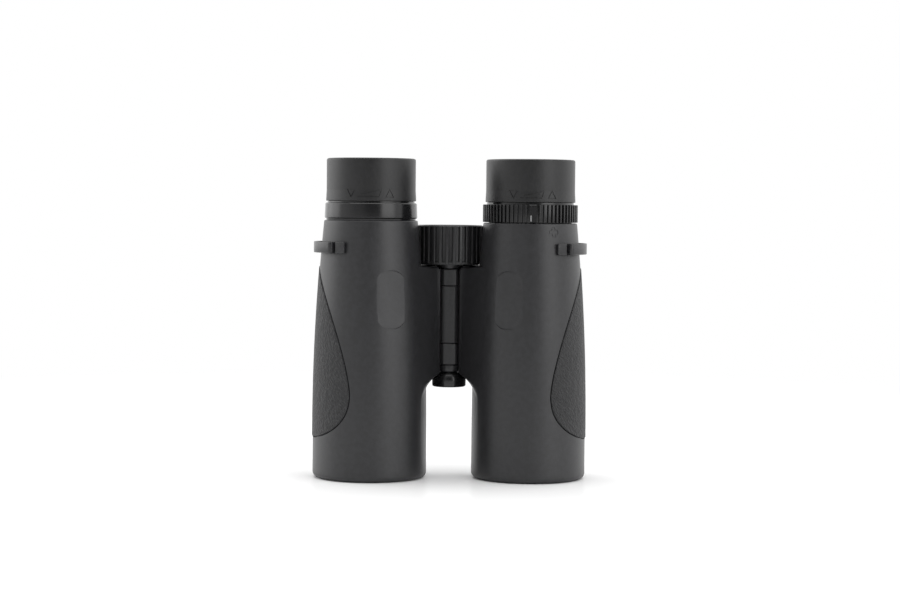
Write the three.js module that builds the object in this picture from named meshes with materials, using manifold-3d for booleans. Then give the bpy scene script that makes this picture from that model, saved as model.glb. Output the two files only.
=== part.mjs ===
// Roof-prism binoculars, standing on their objective ends. Millimetres, +Z up to the eyepieces.
// The underside with the thumb rests faces -Y. The origin is between the barrels, on the floor.
// Heights are measured down from the eyecups, so that a longer pair is longer below its hinge.
import * as THREE from 'three';
import { mergeVertices } from 'three/addons/utils/BufferGeometryUtils.js';
import Module from 'manifold-3d';

const wasm = await Module();
wasm.setup();
const { Manifold, Mesh } = wasm;
const degrees = Math.PI / 180;

// Clearances
const touchGap = 0.3; // between pieces that touch
const turnGap = 0.4; // round pieces that turn or slide
const seamGap = 0.8; // the dark lines above and below an ocular ring

// Overall
const axisSpacing = 74; // between the two optical axes, hinge fully open
const overallHeight = 148;

// Barrel armour
const barrelRadius = 26.5;
const straightTop = 20; // the barrel is a cylinder up to here, then it narrows
const armorThickness = 2.2;
const rimRounding = 2.5;
const topRounding = 0.6;
const lipInset = 3.5; // from the barrel's outer face to the opening in its objective end
const lipHeight = 2.7;

// Metal body shell
const shellWall = 1.5;
const objectiveSeatTop = 12.4;
const seatStep = 1.7; // the bore narrows by this much behind the objective

// Bridge between the barrels
const bridgeDrop = 21.5; // its top below the top of the armour
const slotHalfWidth = 4.7; // the hinge shows between the two halves' edges
const bridgeFront = 8; // armour surface in front of the hinge axis
const bridgeBack = 7.3;
const frontBlendAngle = 60; // where the bridge leaves the barrel, from the front
const backBlendAngle = 140;
const frontSlope = 0.35;
const backSlope = 0.1;
const archBite = 1.8; // how far the arch under the bridge reaches over each barrel
const archDrop = 17; // the arch's centre below the bridge plate
const plateThickness = 6.8;
const plateDrop = 2.9; // the plate's top below the bridge's top
const plateBelowFocus = 5; // its lower edge below the focusing lens
const plateRootDepth = 0.85; // how far the plate reaches into the shell's wall

// Hinge
const knuckleRadius = 6.1;
const knuckleFlat = 5.5; // the front flat's distance from the axis
const knuckleTilt = 7; // degrees between the two halves' flats
const upperKnuckle = 7.7; // length of the upper knuckle
const lowerKnuckle = 10;
const knuckleDrop = 1.2; // the upper knuckle's top below the bridge's top
const axleRadius = 4.3;
const axleEndRadius = 4;
const socketRadius = 3.2; // tripod thread
const collarHeight = 3;
const collarRadius = 5.6;
const capRadius = 7.95;
const capHeight = 6.8;
const capShoulder = 3.4; // below the cap's top
const capFloor = 1.2;
const capNeckWall = 0.8;
const topFlangeRadius = 7.05;
const topFlangeHeight = 1;
const coneRise = 0.6; // the upper collar widens to this much more than the knuckles

// Focus knob
const knobRadius = 15.8;
const knobHeight = 17.8;
const knobRise = 1.7; // its lower face above the bridge
const knobRecess = 1.22; // depth of the hollow that it turns in, at the armour
const knobRibs = 30;
const knobGrooveDepth = 0.7;
const knobGrooveShare = 0.4;
const knobRim = 0.8;
const knobRubber = 3;
const knobCapThickness = 0.8;
const screwRadius = 1.4;
const screwEnd = 5.5; // the screw's end below the focusing lens

// Focusing
const focusTravel = 2.5; // each way
const focusBelowPrism = 7;
const focusingLensEdge = 3.6;
const cellHeight = 6;
const cellWall = 2;
const armWidth = 2;
const armHeight = 2.4;
const nutWall = 1.2;
const nutHeight = 6;

// Thumb rest, grip panel and strap lug
const thumbWidth = 13.5;
const thumbHeight = 26.9;
const thumbAngle = 24; // from the front, towards the hinge
const thumbDrop = 14.4; // its middle below the bridge's top
const thumbDepth = 0.92;
const thumbEnd = 5;
const gripBottom = 19;
const gripWidest = 40;
const gripDrop = 21.4; // its top below the top of the armour
const gripReach = 32.3; // from the outer side round to the front edge
const gripDepth = 1;
const gripProud = 0.4;
const gripGap = 0.35; // round its edge
const gripBed = 0.5; // under it
const lugDrop = 15; // its lower edge below the top of the armour
const lugHeight = 5.1;
const lugProud = 3.6; // the bar's outer face beyond the armour
const lugThickness = 1.5;
const lugBarAngle = 40; // half of the bar's arc
const lugFootAngle = 57; // half of the arc that the feet reach
const lugFootThickness = 0.9;
const lugGap = 0.1; // between the feet and the armour, at the lug's lower edge
const lugPost = 7; // degrees of arc in the post at each end of the bar

// Objective
const objectiveEdge = 4;
const objectiveSag = 2;
const objectiveRearSag = 1;
const objectiveRingHeight = 3.4;
const objectiveRingWall = 1.6;
const objectiveRingBottom = 4.2;

// Prisms
const prismWidth = 18;
const prismDepth = 21;
const prismSpace = 48; // from the step that the cage stands on to the eyepiece tube
const cageWall = 1.2;
const cageHeight = 40;
const cageSeat = 2; // the cage above its step
const halfPrismRise = 3; // the half prism above the foot of the cage
const halfPrismLow = 5; // height of its two sides
const halfPrismHigh = 13;
const prismAirGap = 0.6;
const roofPrismDrop = 4; // the roof prism's top below the cage's
const roofBevel = 6;
const roofFlat = 2;

// Eyepiece
const ringHeight = 7.3; // plain ring under the left eyecup
const ringEdge = 0.4;
const ringProud = 0.85; // beyond the eyecup
const diopterHeight = 8.2;
const diopterSink = 0.3; // its top below the plain ring's
const diopterProud = 1.4;
const diopterRibs = 66;
const diopterRibDepth = 0.5;
const diopterRibReach = 62; // ribs this far each side of front and back
const tubeReach = 7.4; // the eyepiece tube below the top of the armour
const tubeSink = 5; // its top below the eyecup's rim
const tubeRadius = 15.2;
const tubeWall = 1.5;
const tubeLip = 1.1;
const tubeLipHeight = 2;
const tubeChamfer = 0.4;
const shoulderRise = 0.5; // the tube's shoulder above the rings
const eyeLensEdge = 2;
const eyeLensSag = 2;
const fieldCellRise = 4; // above the tube's lower end
const fieldCellHeight = 6;
const fieldCellWall = 2.4;

// Eyecup
const eyecupHeight = 19.7;
const cupWall = 2.35;
const cupFlare = 0.25;
const cupRim = 1;
const cupLipWidth = 4.05; // from the cup's outer face to its mouth
const cupMouthDrop = 0.7;
const cupMouthEase = 1.3;
const cupThroatInset = 1.7; // inside the eyepiece tube's outer face
const cupLip = 4.2; // depth of the soft lip at the top
const liftRingWall = 1.2;
const liftRingHeight = 9.5;
const liftRingRise = 0.5; // above the tube's shoulder
const sleeveWall = 1;
const sleeveSeat = 1.5; // height of the step that rests on the lift ring

const edgeBreak = 0.3; // small chamfer on turned pieces
const hair = 0.01; // overlap of two solids that are joined into one
const fine = 32; // facets round the large outer pieces
const middling = 28; // facets round the body shells
const sleeved = 20; // facets round the pieces that slide over each other
const plain = 16; // facets round the inner ones

// Colours and surface of each finish
const finishes = {
  armorRubber: { color: 0x1d1e20, roughness: 0.62, metalness: 0 },
  gripRubber: { color: 0x1b1b1c, roughness: 0.75, metalness: 0 },
  eyecupRubber: { color: 0x17181a, roughness: 0.6, metalness: 0 },
  blackMetal: { color: 0x151516, roughness: 0.35, metalness: 0.6 },
  satinPlastic: { color: 0x161618, roughness: 0.3, metalness: 0 },
  brass: { color: 0xb08d4a, roughness: 0.35, metalness: 1 },
  steel: { color: 0x8d9094, roughness: 0.3, metalness: 1 },
  coatedGlass: { color: 0x2c4a3c, roughness: 0.05, metalness: 0 },
  prismGlass: { color: 0xcfdcd8, roughness: 0.05, metalness: 0 },
};

// ---- shape helpers

function outwardSolid(geometry) {
  geometry.deleteAttribute('normal');
  geometry.deleteAttribute('uv');
  const merged = mergeVertices(geometry, 1e-4);
  const index = merged.index.array;
  const kept = [];
  for (let i = 0; i < index.length; i += 3) {
    const [a, b, c] = [index[i], index[i + 1], index[i + 2]];
    if (a !== b && b !== c && c !== a) kept.push(a, b, c);
  }
  const p = merged.attributes.position;
  const corner = [0, 1, 2].map(() => new THREE.Vector3());
  let volume = 0;
  for (let i = 0; i < kept.length; i += 3) {
    corner.forEach((v, k) => v.fromBufferAttribute(p, kept[i + k]));
    volume += corner[0].dot(corner[1].clone().cross(corner[2]));
  }
  if (volume < 0) kept.reverse();
  merged.setIndex(kept);
  return merged;
}

function toManifold(geometry) {
  const solid = outwardSolid(geometry);
  return new Manifold(new Mesh({
    numProp: 3,
    vertProperties: new Float32Array(solid.attributes.position.array),
    triVerts: new Uint32Array(solid.index.array),
  }));
}

function fromManifold(manifold) {
  const mesh = manifold.getMesh();
  const geometry = new THREE.BufferGeometry();
  geometry.setAttribute('position', new THREE.BufferAttribute(mesh.vertProperties, 3));
  geometry.setIndex(new THREE.BufferAttribute(mesh.triVerts, 1));
  return geometry;
}

function cut(body, ...tools) {
  return tools.reduce((rest, tool) => rest.subtract(tool), body);
}

function join(body, ...others) {
  return others.reduce((sum, other) => sum.add(other), body);
}

// Turns a closed outline of [radius, height] points about the Z axis.
function turned(outline, facets) {
  const points = outline.map(([r, z]) => new THREE.Vector2(r, z));
  if (outline[0][0] > 0 || outline.at(-1)[0] > 0) points.push(points[0].clone());
  const geometry = new THREE.LatheGeometry(points, facets);
  geometry.rotateX(Math.PI / 2);
  return outwardSolid(geometry);
}

function ring(inner, outer, bottom, top, facets, edge = 0) {
  return turned([
    [inner, bottom], [outer - edge, bottom], [outer, bottom + edge],
    [outer, top - edge], [outer - edge, top], [inner, top],
  ].filter((point, i, all) => i === 0 || point.join() !== all[i - 1].join()), facets);
}

function rod(radius, bottom, top, facets = plain) {
  return turned([[0, bottom], [radius, bottom], [radius, top], [0, top]], facets);
}

function block(x0, x1, y0, y1, z0, z1) {
  const geometry = new THREE.BoxGeometry(x1 - x0, y1 - y0, z1 - z0);
  geometry.translate((x0 + x1) / 2, (y0 + y1) / 2, (z0 + z1) / 2);
  return geometry;
}

function arc(centreR, centreZ, radius, from, to, steps) {
  return Array.from({ length: steps + 1 }, (_, i) => {
    const a = (from + (to - from) * i / steps) * degrees;
    return [centreR + radius * Math.cos(a), centreZ + radius * Math.sin(a)];
  });
}

// Joins rows of points, each row the same length and closed, into one solid with flat ends.
function loft(rows) {
  const width = rows[0].length;
  const position = rows.flat(2);
  const index = [];
  for (let r = 0; r + 1 < rows.length; r += 1) {
    for (let i = 0; i < width; i += 1) {
      const j = (i + 1) % width;
      const [a, b, c, d] = [r * width + i, r * width + j, (r + 1) * width + i, (r + 1) * width + j];
      index.push(a, b, d, a, d, c);
    }
  }
  const outline = rows[0].map(([x, y]) => new THREE.Vector2(x, y));
  const last = (rows.length - 1) * width;
  for (const [a, b, c] of THREE.ShapeUtils.triangulateShape(outline, [])) {
    index.push(a, c, b, last + a, last + b, last + c);
  }
  const geometry = new THREE.BufferGeometry();
  geometry.setAttribute('position', new THREE.Float32BufferAttribute(position, 3));
  geometry.setIndex(index);
  return outwardSolid(geometry);
}

// Lays a grid of points over two faces, an outer and an inner, and closes their edges.
function curvedPlate(rows, columns, place) {
  const position = [];
  for (const face of [0, 1]) {
    for (let r = 0; r <= rows; r += 1) {
      for (let c = 0; c <= columns; c += 1) position.push(...place(r / rows, c / columns, face));
    }
  }
  const stride = columns + 1;
  const faceSize = stride * (rows + 1);
  const index = [];
  const quad = (a, b, c, d) => index.push(a, b, c, a, c, d);
  for (let r = 0; r < rows; r += 1) {
    for (let c = 0; c < columns; c += 1) {
      const a = r * stride + c;
      quad(a, a + 1, a + stride + 1, a + stride);
      quad(a + faceSize, a + faceSize + stride, a + faceSize + stride + 1, a + faceSize + 1);
    }
  }
  for (let c = 0; c < columns; c += 1) {
    const top = rows * stride + c;
    quad(c, c + faceSize, c + faceSize + 1, c + 1);
    quad(top, top + 1, top + 1 + faceSize, top + faceSize);
  }
  for (let r = 0; r < rows; r += 1) {
    const a = r * stride;
    const b = a + columns;
    quad(a, a + stride, a + stride + faceSize, a + faceSize);
    quad(b, b + faceSize, b + stride + faceSize, b + stride);
  }
  const geometry = new THREE.BufferGeometry();
  geometry.setAttribute('position', new THREE.Float32BufferAttribute(position, 3));
  geometry.setIndex(index);
  return outwardSolid(geometry);
}

// ---- sizes that follow from the driving ones

const halfSpacing = axisSpacing / 2;

// the eyecup fits over its sleeve, the sleeve over the lift ring, and that over the tube
const liftRingInner = tubeRadius + touchGap;
const liftRingOuter = liftRingInner + liftRingWall;
const sleeveInner = liftRingOuter + touchGap;
const sleeveOuter = sleeveInner + sleeveWall;
const cupInner = sleeveOuter + touchGap;
const cupRadius = cupInner + cupWall;
const ringRadius = cupRadius + ringProud;
const diopterRadius = cupRadius + diopterProud;
const neckRadius = ringRadius + 0.2; // armour radius at its top

// heights, down from the eyecups
const cupBottom = overallHeight - eyecupHeight;
const lipUnderside = overallHeight - cupLip;
const ringTop = cupBottom - seamGap;
const ringBottom = ringTop - ringHeight;
const armorTop = ringBottom - seamGap;
const diopterTop = ringTop - diopterSink;
const diopterBottom = diopterTop - diopterHeight;
const tubeTop = overallHeight - tubeSink;
const tubeShoulder = ringTop + shoulderRise;
const tubeBottom = armorTop - tubeReach;
const fieldCellBottom = tubeBottom + fieldCellRise;
const liftRingBottom = tubeShoulder + liftRingRise;
const liftRingTop = liftRingBottom + liftRingHeight;
const prismSeatBottom = tubeBottom - prismSpace;
const cageBottom = prismSeatBottom + cageSeat;
const cageTop = cageBottom + cageHeight;
const focusHeight = prismSeatBottom - focusBelowPrism;
const lugBottom = armorTop - lugDrop;
const gripTop = armorTop - gripDrop;

// heights of the bridge, the hinge and the knob
const bridgeTop = armorTop - bridgeDrop;
const plateTop = bridgeTop - plateDrop;
const plateBottom = focusHeight - plateBelowFocus;
const archHeight = plateBottom - archDrop;
const thumbMiddle = bridgeTop - thumbDrop;
const knuckleTop = bridgeTop - knuckleDrop;
const knuckleLevels = [plateBottom, plateBottom + lowerKnuckle, knuckleTop - upperKnuckle, knuckleTop];
const collarTop = plateBottom - touchGap;
const collarBottom = collarTop - collarHeight;
const capTop = collarBottom - 0.5;
const capBottom = capTop - capHeight;
const axleBottom = capBottom + capFloor + turnGap;
const knobBottom = bridgeTop + knobRise;
const knobTop = knobBottom + knobHeight;
const screwTop = knobTop - knobCapThickness - 2 * touchGap - 0.2;

function armorRadiusAt(z) {
  const t = Math.max(0, z - straightTop) / (armorTop - straightTop);
  return barrelRadius - (barrelRadius - neckRadius) * t * t;
}

function shellRadiusAt(z) {
  return armorRadiusAt(z) - armorThickness - touchGap;
}

const lipRadius = barrelRadius - lipInset;
const boreRadius = shellRadiusAt(objectiveSeatTop) - shellWall;
const middleBore = boreRadius - seatStep;
const upperBore = shellRadiusAt(armorTop) - shellWall;
const tubeFlange = upperBore - turnGap;
const cellRadius = middleBore - turnGap;
const archRadius = halfSpacing - barrelRadius + archBite;

// The hinge stands back far enough for the knob to turn in its hollow between the barrels.
const knobHollow = knobRadius + 2 * touchGap;
const hingeReach = armorRadiusAt(knobBottom) + knobHollow - knobRecess;
const setBack = Math.sqrt(Math.max(0, hingeReach ** 2 - halfSpacing ** 2));
const hingeY = Math.round(10 * setBack) / 10; // behind the plane of the two optical axes

// The bridge plate and the arm's slot start where the shell's wall first takes in the whole plate.
const plateBack = hingeY + plateThickness / 2;
const wallAtPlate = Math.sqrt(Math.max(0, shellRadiusAt(plateTop) ** 2 - plateBack ** 2));
const plateRoot = wallAtPlate - plateRootDepth;
const armHalfSlot = armHeight / 2 + focusTravel + turnGap;

function levels(from, to, count) {
  return Array.from({ length: count + 1 }, (_, i) => from + (to - from) * i / count);
}

// ---- barrel: armour, shell, grip panel, strap lug
// A barrel is drawn about its own optical axis; side is +1 where the hinge lies at +X.

function bridgeOutline(z, side) {
  const r = armorRadiusAt(z);
  const edgeX = halfSpacing - slotHalfWidth;
  const heart = [0.3 * r, 0]; // inside the barrel, so that the wing joins it
  const points = [heart];
  const blend = (angle, turn, edgeY, slope, steps) => {
    const a = angle * degrees;
    const start = [r * Math.sin(a), -r * Math.cos(a)];
    const way = [turn * Math.cos(a), turn * Math.sin(a)];
    // where the barrel's tangent meets the bridge surface carried back from its edge
    const along = (edgeY - start[1] + slope * (start[0] - edgeX)) / (way[1] - slope * way[0]);
    const middle = [start[0] + way[0] * along, start[1] + way[1] * along];
    const curve = new THREE.QuadraticBezierCurve(
      new THREE.Vector2(...start), new THREE.Vector2(...middle), new THREE.Vector2(edgeX, edgeY));
    return curve.getPoints(steps).map((p) => [p.x, p.y]);
  };
  points.push(...blend(frontBlendAngle, 1, hingeY - bridgeFront, frontSlope, 6));
  points.push(...blend(backBlendAngle, -1, hingeY + bridgeBack, backSlope, 4).reverse());
  const row = points.map(([x, y]) => [side * x, y, z]);
  return side > 0 ? row : row.reverse();
}

function archTool(side) {
  const arch = rod(archRadius, -barrelRadius - 10, barrelRadius + 10, fine);
  arch.rotateX(Math.PI / 2);
  arch.translate(side * halfSpacing, 0, archHeight);
  const below = block(-archRadius, archRadius, -barrelRadius - 10, barrelRadius + 10, -10, archHeight);
  below.translate(side * halfSpacing, 0, 0);
  return join(toManifold(arch), toManifold(below));
}

function hingeRod(radius, bottom, top, side, facets = 20) {
  const tool = rod(radius, bottom, top, facets);
  tool.translate(side * halfSpacing, hingeY, 0);
  return toManifold(tool);
}

function plateTool(side, margin) {
  const half = plateThickness / 2 + margin;
  const root = plateRoot - margin;
  const [x0, x1] = side > 0 ? [root, halfSpacing] : [-halfSpacing, -root];
  return toManifold(block(x0, x1, hingeY - half, hingeY + half, plateBottom - margin, plateTop + margin));
}

function thumbTool(side) {
  const outline = new THREE.Shape();
  const [w, h] = [thumbWidth / 2, thumbHeight / 2];
  outline.moveTo(w, -h + thumbEnd);
  outline.lineTo(w, h - thumbEnd);
  outline.absellipse(0, h - thumbEnd, w, thumbEnd, 0, Math.PI, false);
  outline.lineTo(-w, -h + thumbEnd);
  outline.absellipse(0, -h + thumbEnd, w, thumbEnd, Math.PI, 2 * Math.PI, false);
  const depth = 6; // reaches clear of the armour
  const tool = new THREE.ExtrudeGeometry(outline, { depth, bevelEnabled: false, curveSegments: 10 });
  tool.rotateX(Math.PI / 2); // the outline now stands in XZ and the tool reaches towards -Y
  const rise = (armorRadiusAt(thumbMiddle + 1) - armorRadiusAt(thumbMiddle - 1)) / 2;
  tool.rotateX(Math.atan(rise));
  tool.translate(0, -(armorRadiusAt(thumbMiddle) - thumbDepth), thumbMiddle);
  tool.rotateZ(side * thumbAngle * degrees);
  return toManifold(tool);
}

function gripHalfWidth(z) {
  if (z >= gripWidest) {
    const t = (z - gripWidest) / (gripTop - gripWidest);
    return gripReach * (1 - t ** 1.4) ** 0.7;
  }
  const t = (gripWidest - z) / (gripWidest - gripBottom);
  return gripReach * (1 - t ** 2.4) ** (1 / 2.4);
}

function gripSolid(side, margin, inner, outer) {
  return curvedPlate(12, 6, (v, u, face) => {
    // rows crowd towards both ends, where the outline turns quickly
    const eased = (1 - Math.cos(Math.PI * v)) / 2;
    const z = gripBottom + (gripTop - gripBottom) * (0.003 + 0.994 * eased); // stops just short of the tips
    const r = armorRadiusAt(z) + (face === 0 ? outer : inner);
    const reach = (gripHalfWidth(z) + margin) / armorRadiusAt(z);
    const a = (2 * u - 1) * reach;
    const stretch = margin * (2 * eased - 1);
    return [-side * r * Math.cos(a), r * Math.sin(a), z + stretch];
  });
}

function armor(side, top) {
  const outer = [[0, 0], ...arc(barrelRadius - rimRounding, rimRounding, rimRounding, -90, 0, 3)];
  for (const z of levels(straightTop, top - topRounding, 5)) outer.push([armorRadiusAt(z), z]);
  outer.push([armorRadiusAt(top) - topRounding, top], [0, top]);
  const wing = loft(levels(archHeight - 3, bridgeTop, 4).map((z) => bridgeOutline(z, side)));
  const core = [[0, -5], [lipRadius, -5], [lipRadius, lipHeight]];
  for (const z of levels(lipHeight, top, 4)) core.push([armorRadiusAt(z) - armorThickness, z]);
  core.push([armorRadiusAt(top) - armorThickness, top + 5], [0, top + 5]);
  const solid = join(toManifold(turned(outer, fine)), cut(toManifold(wing), archTool(side)));
  return fromManifold(cut(solid,
    toManifold(turned(core, fine)),
    plateTool(side, touchGap),
    hingeRod(knuckleRadius + turnGap, 0, bridgeTop + 2, side),
    hingeRod(topFlangeRadius + turnGap, knuckleTop, bridgeTop + 2, side),
    hingeRod(capRadius + 2 * touchGap, 0, capTop - 1, side),
    hingeRod(knobHollow, knobBottom - 2 * touchGap, armorTop + 2, side, 40),
    toManifold(gripSolid(side, gripGap, -gripDepth - gripBed, 3)),
    thumbTool(side)));
}

function gripPanel(side) {
  return gripSolid(side, 0, -gripDepth, gripProud);
}

function armSlot(side) {
  const halfWide = armWidth / 2 + turnGap;
  const [x0, x1] = side > 0 ? [plateRoot, halfSpacing] : [-halfSpacing, -plateRoot];
  return toManifold(block(x0, x1, hingeY - halfWide, hingeY + halfWide,
    focusHeight - armHalfSlot, focusHeight + armHalfSlot));
}

function bodyShell(side, top) {
  const shellTop = top - touchGap;
  const shellBottom = lipHeight + touchGap;
  const outer = [[0, shellBottom]];
  for (const z of levels(shellBottom, shellTop, 4)) outer.push([shellRadiusAt(z), z]);
  outer.push([0, shellTop]);
  const bore = [
    [0, 0], [boreRadius, 0], [boreRadius, objectiveSeatTop], [middleBore, objectiveSeatTop],
    [middleBore, prismSeatBottom], [upperBore, prismSeatBottom], [upperBore, armorTop + 5], [0, armorTop + 5],
  ];
  const [lower, lowerTop, upperBottom, upper] = knuckleLevels;
  const gap = touchGap / 2;
  // the left half has the lower and upper knuckles, and leaves room for the right half's middle one
  const outerPair = [[lower, lowerTop - gap], [upperBottom + gap, upper]];
  const owned = side > 0 ? outerPair : [[lowerTop + gap, upperBottom - gap]];
  const outerRooms = [[lower - 1, lowerTop + gap], [upperBottom - gap, upper]];
  const given = side > 0 ? [[lowerTop - gap, upperBottom + gap]] : outerRooms;
  const flat = block(-knuckleRadius, knuckleRadius, -2 * knuckleRadius, -knuckleFlat, lower - 1, upper + 1);
  flat.rotateZ(side > 0 ? 0 : -knuckleTilt * degrees);
  flat.translate(side * halfSpacing, hingeY, 0);
  const knuckles = owned.map(([z0, z1]) => (
    cut(hingeRod(knuckleRadius, z0, z1, side), toManifold(flat.clone()))));
  const rooms = given.map(([z0, z1]) => hingeRod(knuckleRadius + turnGap, z0, z1, side));
  const axleHole = () => hingeRod(axleRadius + touchGap, 0, overallHeight, side);
  const plate = cut(plateTool(side, 0), ...rooms, axleHole());
  return fromManifold(cut(join(toManifold(turned(outer, middling)), plate, ...knuckles),
    toManifold(turned(bore, middling)),
    axleHole(),
    armSlot(side)));
}

function strapLug(side) {
  const middle = armorRadiusAt(lugBottom + lugHeight / 2);
  const footInner = armorRadiusAt(lugBottom) + lugGap;
  const outline = new THREE.Shape();
  const at = (r, a) => new THREE.Vector2(-side * r * Math.cos(a * degrees), r * Math.sin(a * degrees));
  const sweep = (r, from, to, steps) => levels(from, to, steps).map((a) => at(r, a));
  const barOuter = middle + lugProud;
  const barInner = barOuter - lugThickness;
  const footOuter = footInner + lugFootThickness;
  const points = [
    ...sweep(barOuter, -lugBarAngle, lugBarAngle, 12),
    at(footOuter, lugBarAngle + lugPost),
    ...sweep(footOuter, lugBarAngle + lugPost + 1, lugFootAngle, 2),
    ...sweep(footInner, lugFootAngle, lugBarAngle - 1, 3),
    ...sweep(barInner, lugBarAngle - lugPost, -(lugBarAngle - lugPost), 10),
    ...sweep(footInner, -(lugBarAngle - 1), -lugFootAngle, 3),
    ...sweep(footOuter, -lugFootAngle, -(lugBarAngle + lugPost + 1), 2),
    at(footOuter, -(lugBarAngle + lugPost)),
  ];
  outline.setFromPoints(points);
  const lug = new THREE.ExtrudeGeometry(outline, { depth: lugHeight, bevelEnabled: false });
  lug.translate(0, 0, lugBottom);
  return outwardSolid(lug);
}

// ---- optics

function lens(radius, lowerVertex, lowerEdge, upperEdge, upperVertex, facets = plain) {
  const steps = 3;
  const side = (vertex, edge) => levels(0, 1, steps).map((t) => (
    [radius * t, vertex + (edge - vertex) * t * t]));
  return turned([...side(lowerVertex, lowerEdge), ...side(upperVertex, upperEdge).reverse()], facets);
}

function objectiveRing() {
  const outer = boreRadius - touchGap;
  const top = objectiveRingBottom + objectiveRingHeight;
  return ring(outer - objectiveRingWall, outer, objectiveRingBottom, top, fine);
}

function objectiveLens() {
  const edge = objectiveRingBottom + objectiveRingHeight + touchGap;
  const rear = edge + objectiveEdge;
  return lens(boreRadius - touchGap, edge - objectiveSag, edge, rear, rear + objectiveRearSag, fine);
}

function focusingCell() {
  const half = cellHeight / 2;
  return ring(cellRadius - cellWall, cellRadius, focusHeight - half, focusHeight + half, plain);
}

function focusingLens() {
  // hollow on both faces, so it is thinnest at its middle
  const front = focusHeight - 2;
  const rear = front + focusingLensEdge;
  return lens(cellRadius - cellWall - touchGap, front + 1, front, rear, rear - 1);
}

function focusArm(side) {
  const inner = Math.sqrt(Math.max(0, (cellRadius + touchGap) ** 2 - (hingeY - armWidth / 2) ** 2));
  const end = side > 0
    ? halfSpacing - (screwRadius + touchGap + nutWall + touchGap)
    : halfSpacing - (knuckleRadius + 2 * turnGap);
  const [x0, x1] = side > 0 ? [inner, end] : [-end, -inner];
  return block(x0, x1, hingeY - armWidth / 2, hingeY + armWidth / 2,
    focusHeight - armHeight / 2, focusHeight + armHeight / 2);
}

function prismCage() {
  const outer = upperBore - touchGap;
  return ring(outer - cageWall, outer, cageBottom, cageTop, plain);
}

function prismBlock(outline) {
  const shape = new THREE.Shape(outline.map(([x, z]) => new THREE.Vector2(x, z)));
  const prism = new THREE.ExtrudeGeometry(shape, { depth: prismWidth, bevelEnabled: false });
  prism.rotateX(Math.PI / 2);
  prism.translate(0, prismWidth / 2, 0);
  return outwardSolid(prism);
}

function halfPrism() {
  const [w, z] = [prismDepth / 2, cageBottom + halfPrismRise];
  return prismBlock([[-w, z], [w, z], [w, z + halfPrismLow], [-w, z + halfPrismHigh]]);
}

function roofPrism() {
  const [w, z, top] = [prismDepth / 2, cageBottom + halfPrismRise + prismAirGap, cageTop - roofPrismDrop];
  return prismBlock([
    [w, z + halfPrismLow], [w, top - roofBevel], [roofFlat, top], [-w, top], [-w, z + halfPrismHigh],
  ]);
}

// ---- eyepiece and eyecup

function eyepieceTube() {
  const inner = tubeRadius - tubeWall;
  const lipBottom = tubeTop - tubeLipHeight;
  return turned([
    [inner, tubeBottom], [tubeFlange, tubeBottom], [tubeFlange, tubeShoulder], [tubeRadius, tubeShoulder],
    [tubeRadius, tubeTop - tubeChamfer], [tubeRadius - tubeChamfer, tubeTop],
    [inner - tubeLip + 0.5, tubeTop], [inner - tubeLip, lipBottom], [inner, lipBottom],
  ], sleeved);
}

function eyeLens() {
  const rear = tubeTop - tubeLipHeight - 0.7;
  const front = rear - eyeLensEdge;
  return lens(tubeRadius - tubeWall - touchGap, front, front, rear, rear + eyeLensSag);
}

function fieldCell() {
  const outer = tubeRadius - tubeWall - touchGap;
  return ring(outer - fieldCellWall, outer, fieldCellBottom, fieldCellBottom + fieldCellHeight, plain);
}

function fieldLens() {
  const r = tubeRadius - tubeWall - fieldCellWall - 2 * touchGap;
  const middle = fieldCellBottom + fieldCellHeight / 2;
  return lens(r, middle - 2, middle - 1, middle + 1, middle + 2.4);
}

function plainRing() {
  return ring(tubeFlange + touchGap, ringRadius, ringBottom, ringTop, fine, ringEdge);
}

// An outline of ribs: radius and angle of each point, in degrees round the axis.
function ribbedShape(points, holeRadius) {
  const shape = new THREE.Shape(points.map(([r, a]) => (
    new THREE.Vector2(r * Math.cos(a * degrees), r * Math.sin(a * degrees)))));
  const hole = new THREE.Path();
  hole.absarc(0, 0, holeRadius, 0, 2 * Math.PI, true);
  shape.holes.push(hole);
  return shape;
}

function extruded(shape, bottom, top) {
  const solid = new THREE.ExtrudeGeometry(shape, {
    depth: top - bottom, bevelEnabled: false, curveSegments: plain,
  });
  solid.translate(0, 0, bottom);
  return outwardSolid(solid);
}

function diopterRing() {
  const pitch = 360 / diopterRibs;
  const points = [];
  for (let i = 0; i < diopterRibs; i += 1) {
    const a = i * pitch;
    const fromFront = Math.abs((a % 180) - 90); // or from the back
    const valley = fromFront < diopterRibReach ? diopterRadius - diopterRibDepth : diopterRadius;
    points.push([diopterRadius, a], [valley, a + pitch / 2]);
  }
  return extruded(ribbedShape(points, tubeFlange + turnGap), diopterBottom, diopterTop);
}

function liftRing() {
  return ring(liftRingInner, liftRingOuter, liftRingBottom, liftRingTop, sleeved);
}

function eyecupSleeve() {
  const seat = liftRingTop + touchGap;
  const step = liftRingInner + 0.1; // it overhangs the lift ring
  const top = lipUnderside - touchGap;
  return turned([
    [sleeveInner, liftRingBottom], [sleeveOuter, liftRingBottom], [sleeveOuter, top], [sleeveInner, top],
    [sleeveInner, seat + sleeveSeat], [step, seat + sleeveSeat], [step, seat], [sleeveInner, seat],
  ], sleeved);
}

function eyecup() {
  const top = overallHeight;
  const mouth = cupRadius - cupLipWidth;
  const foot = cupRadius + cupFlare;
  return turned([
    [cupInner, cupBottom], [foot - 0.2, cupBottom], [foot, cupBottom + edgeBreak],
    ...arc(cupRadius - cupRim, top - cupRim, cupRim, 0, 90, 3),
    [mouth, top], [mouth - cupMouthEase, top - cupMouthDrop],
    [tubeRadius - cupThroatInset, lipUnderside], [cupInner, lipUnderside],
  ], fine);
}

// ---- hinge and focus knob, drawn about the hinge axis

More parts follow.
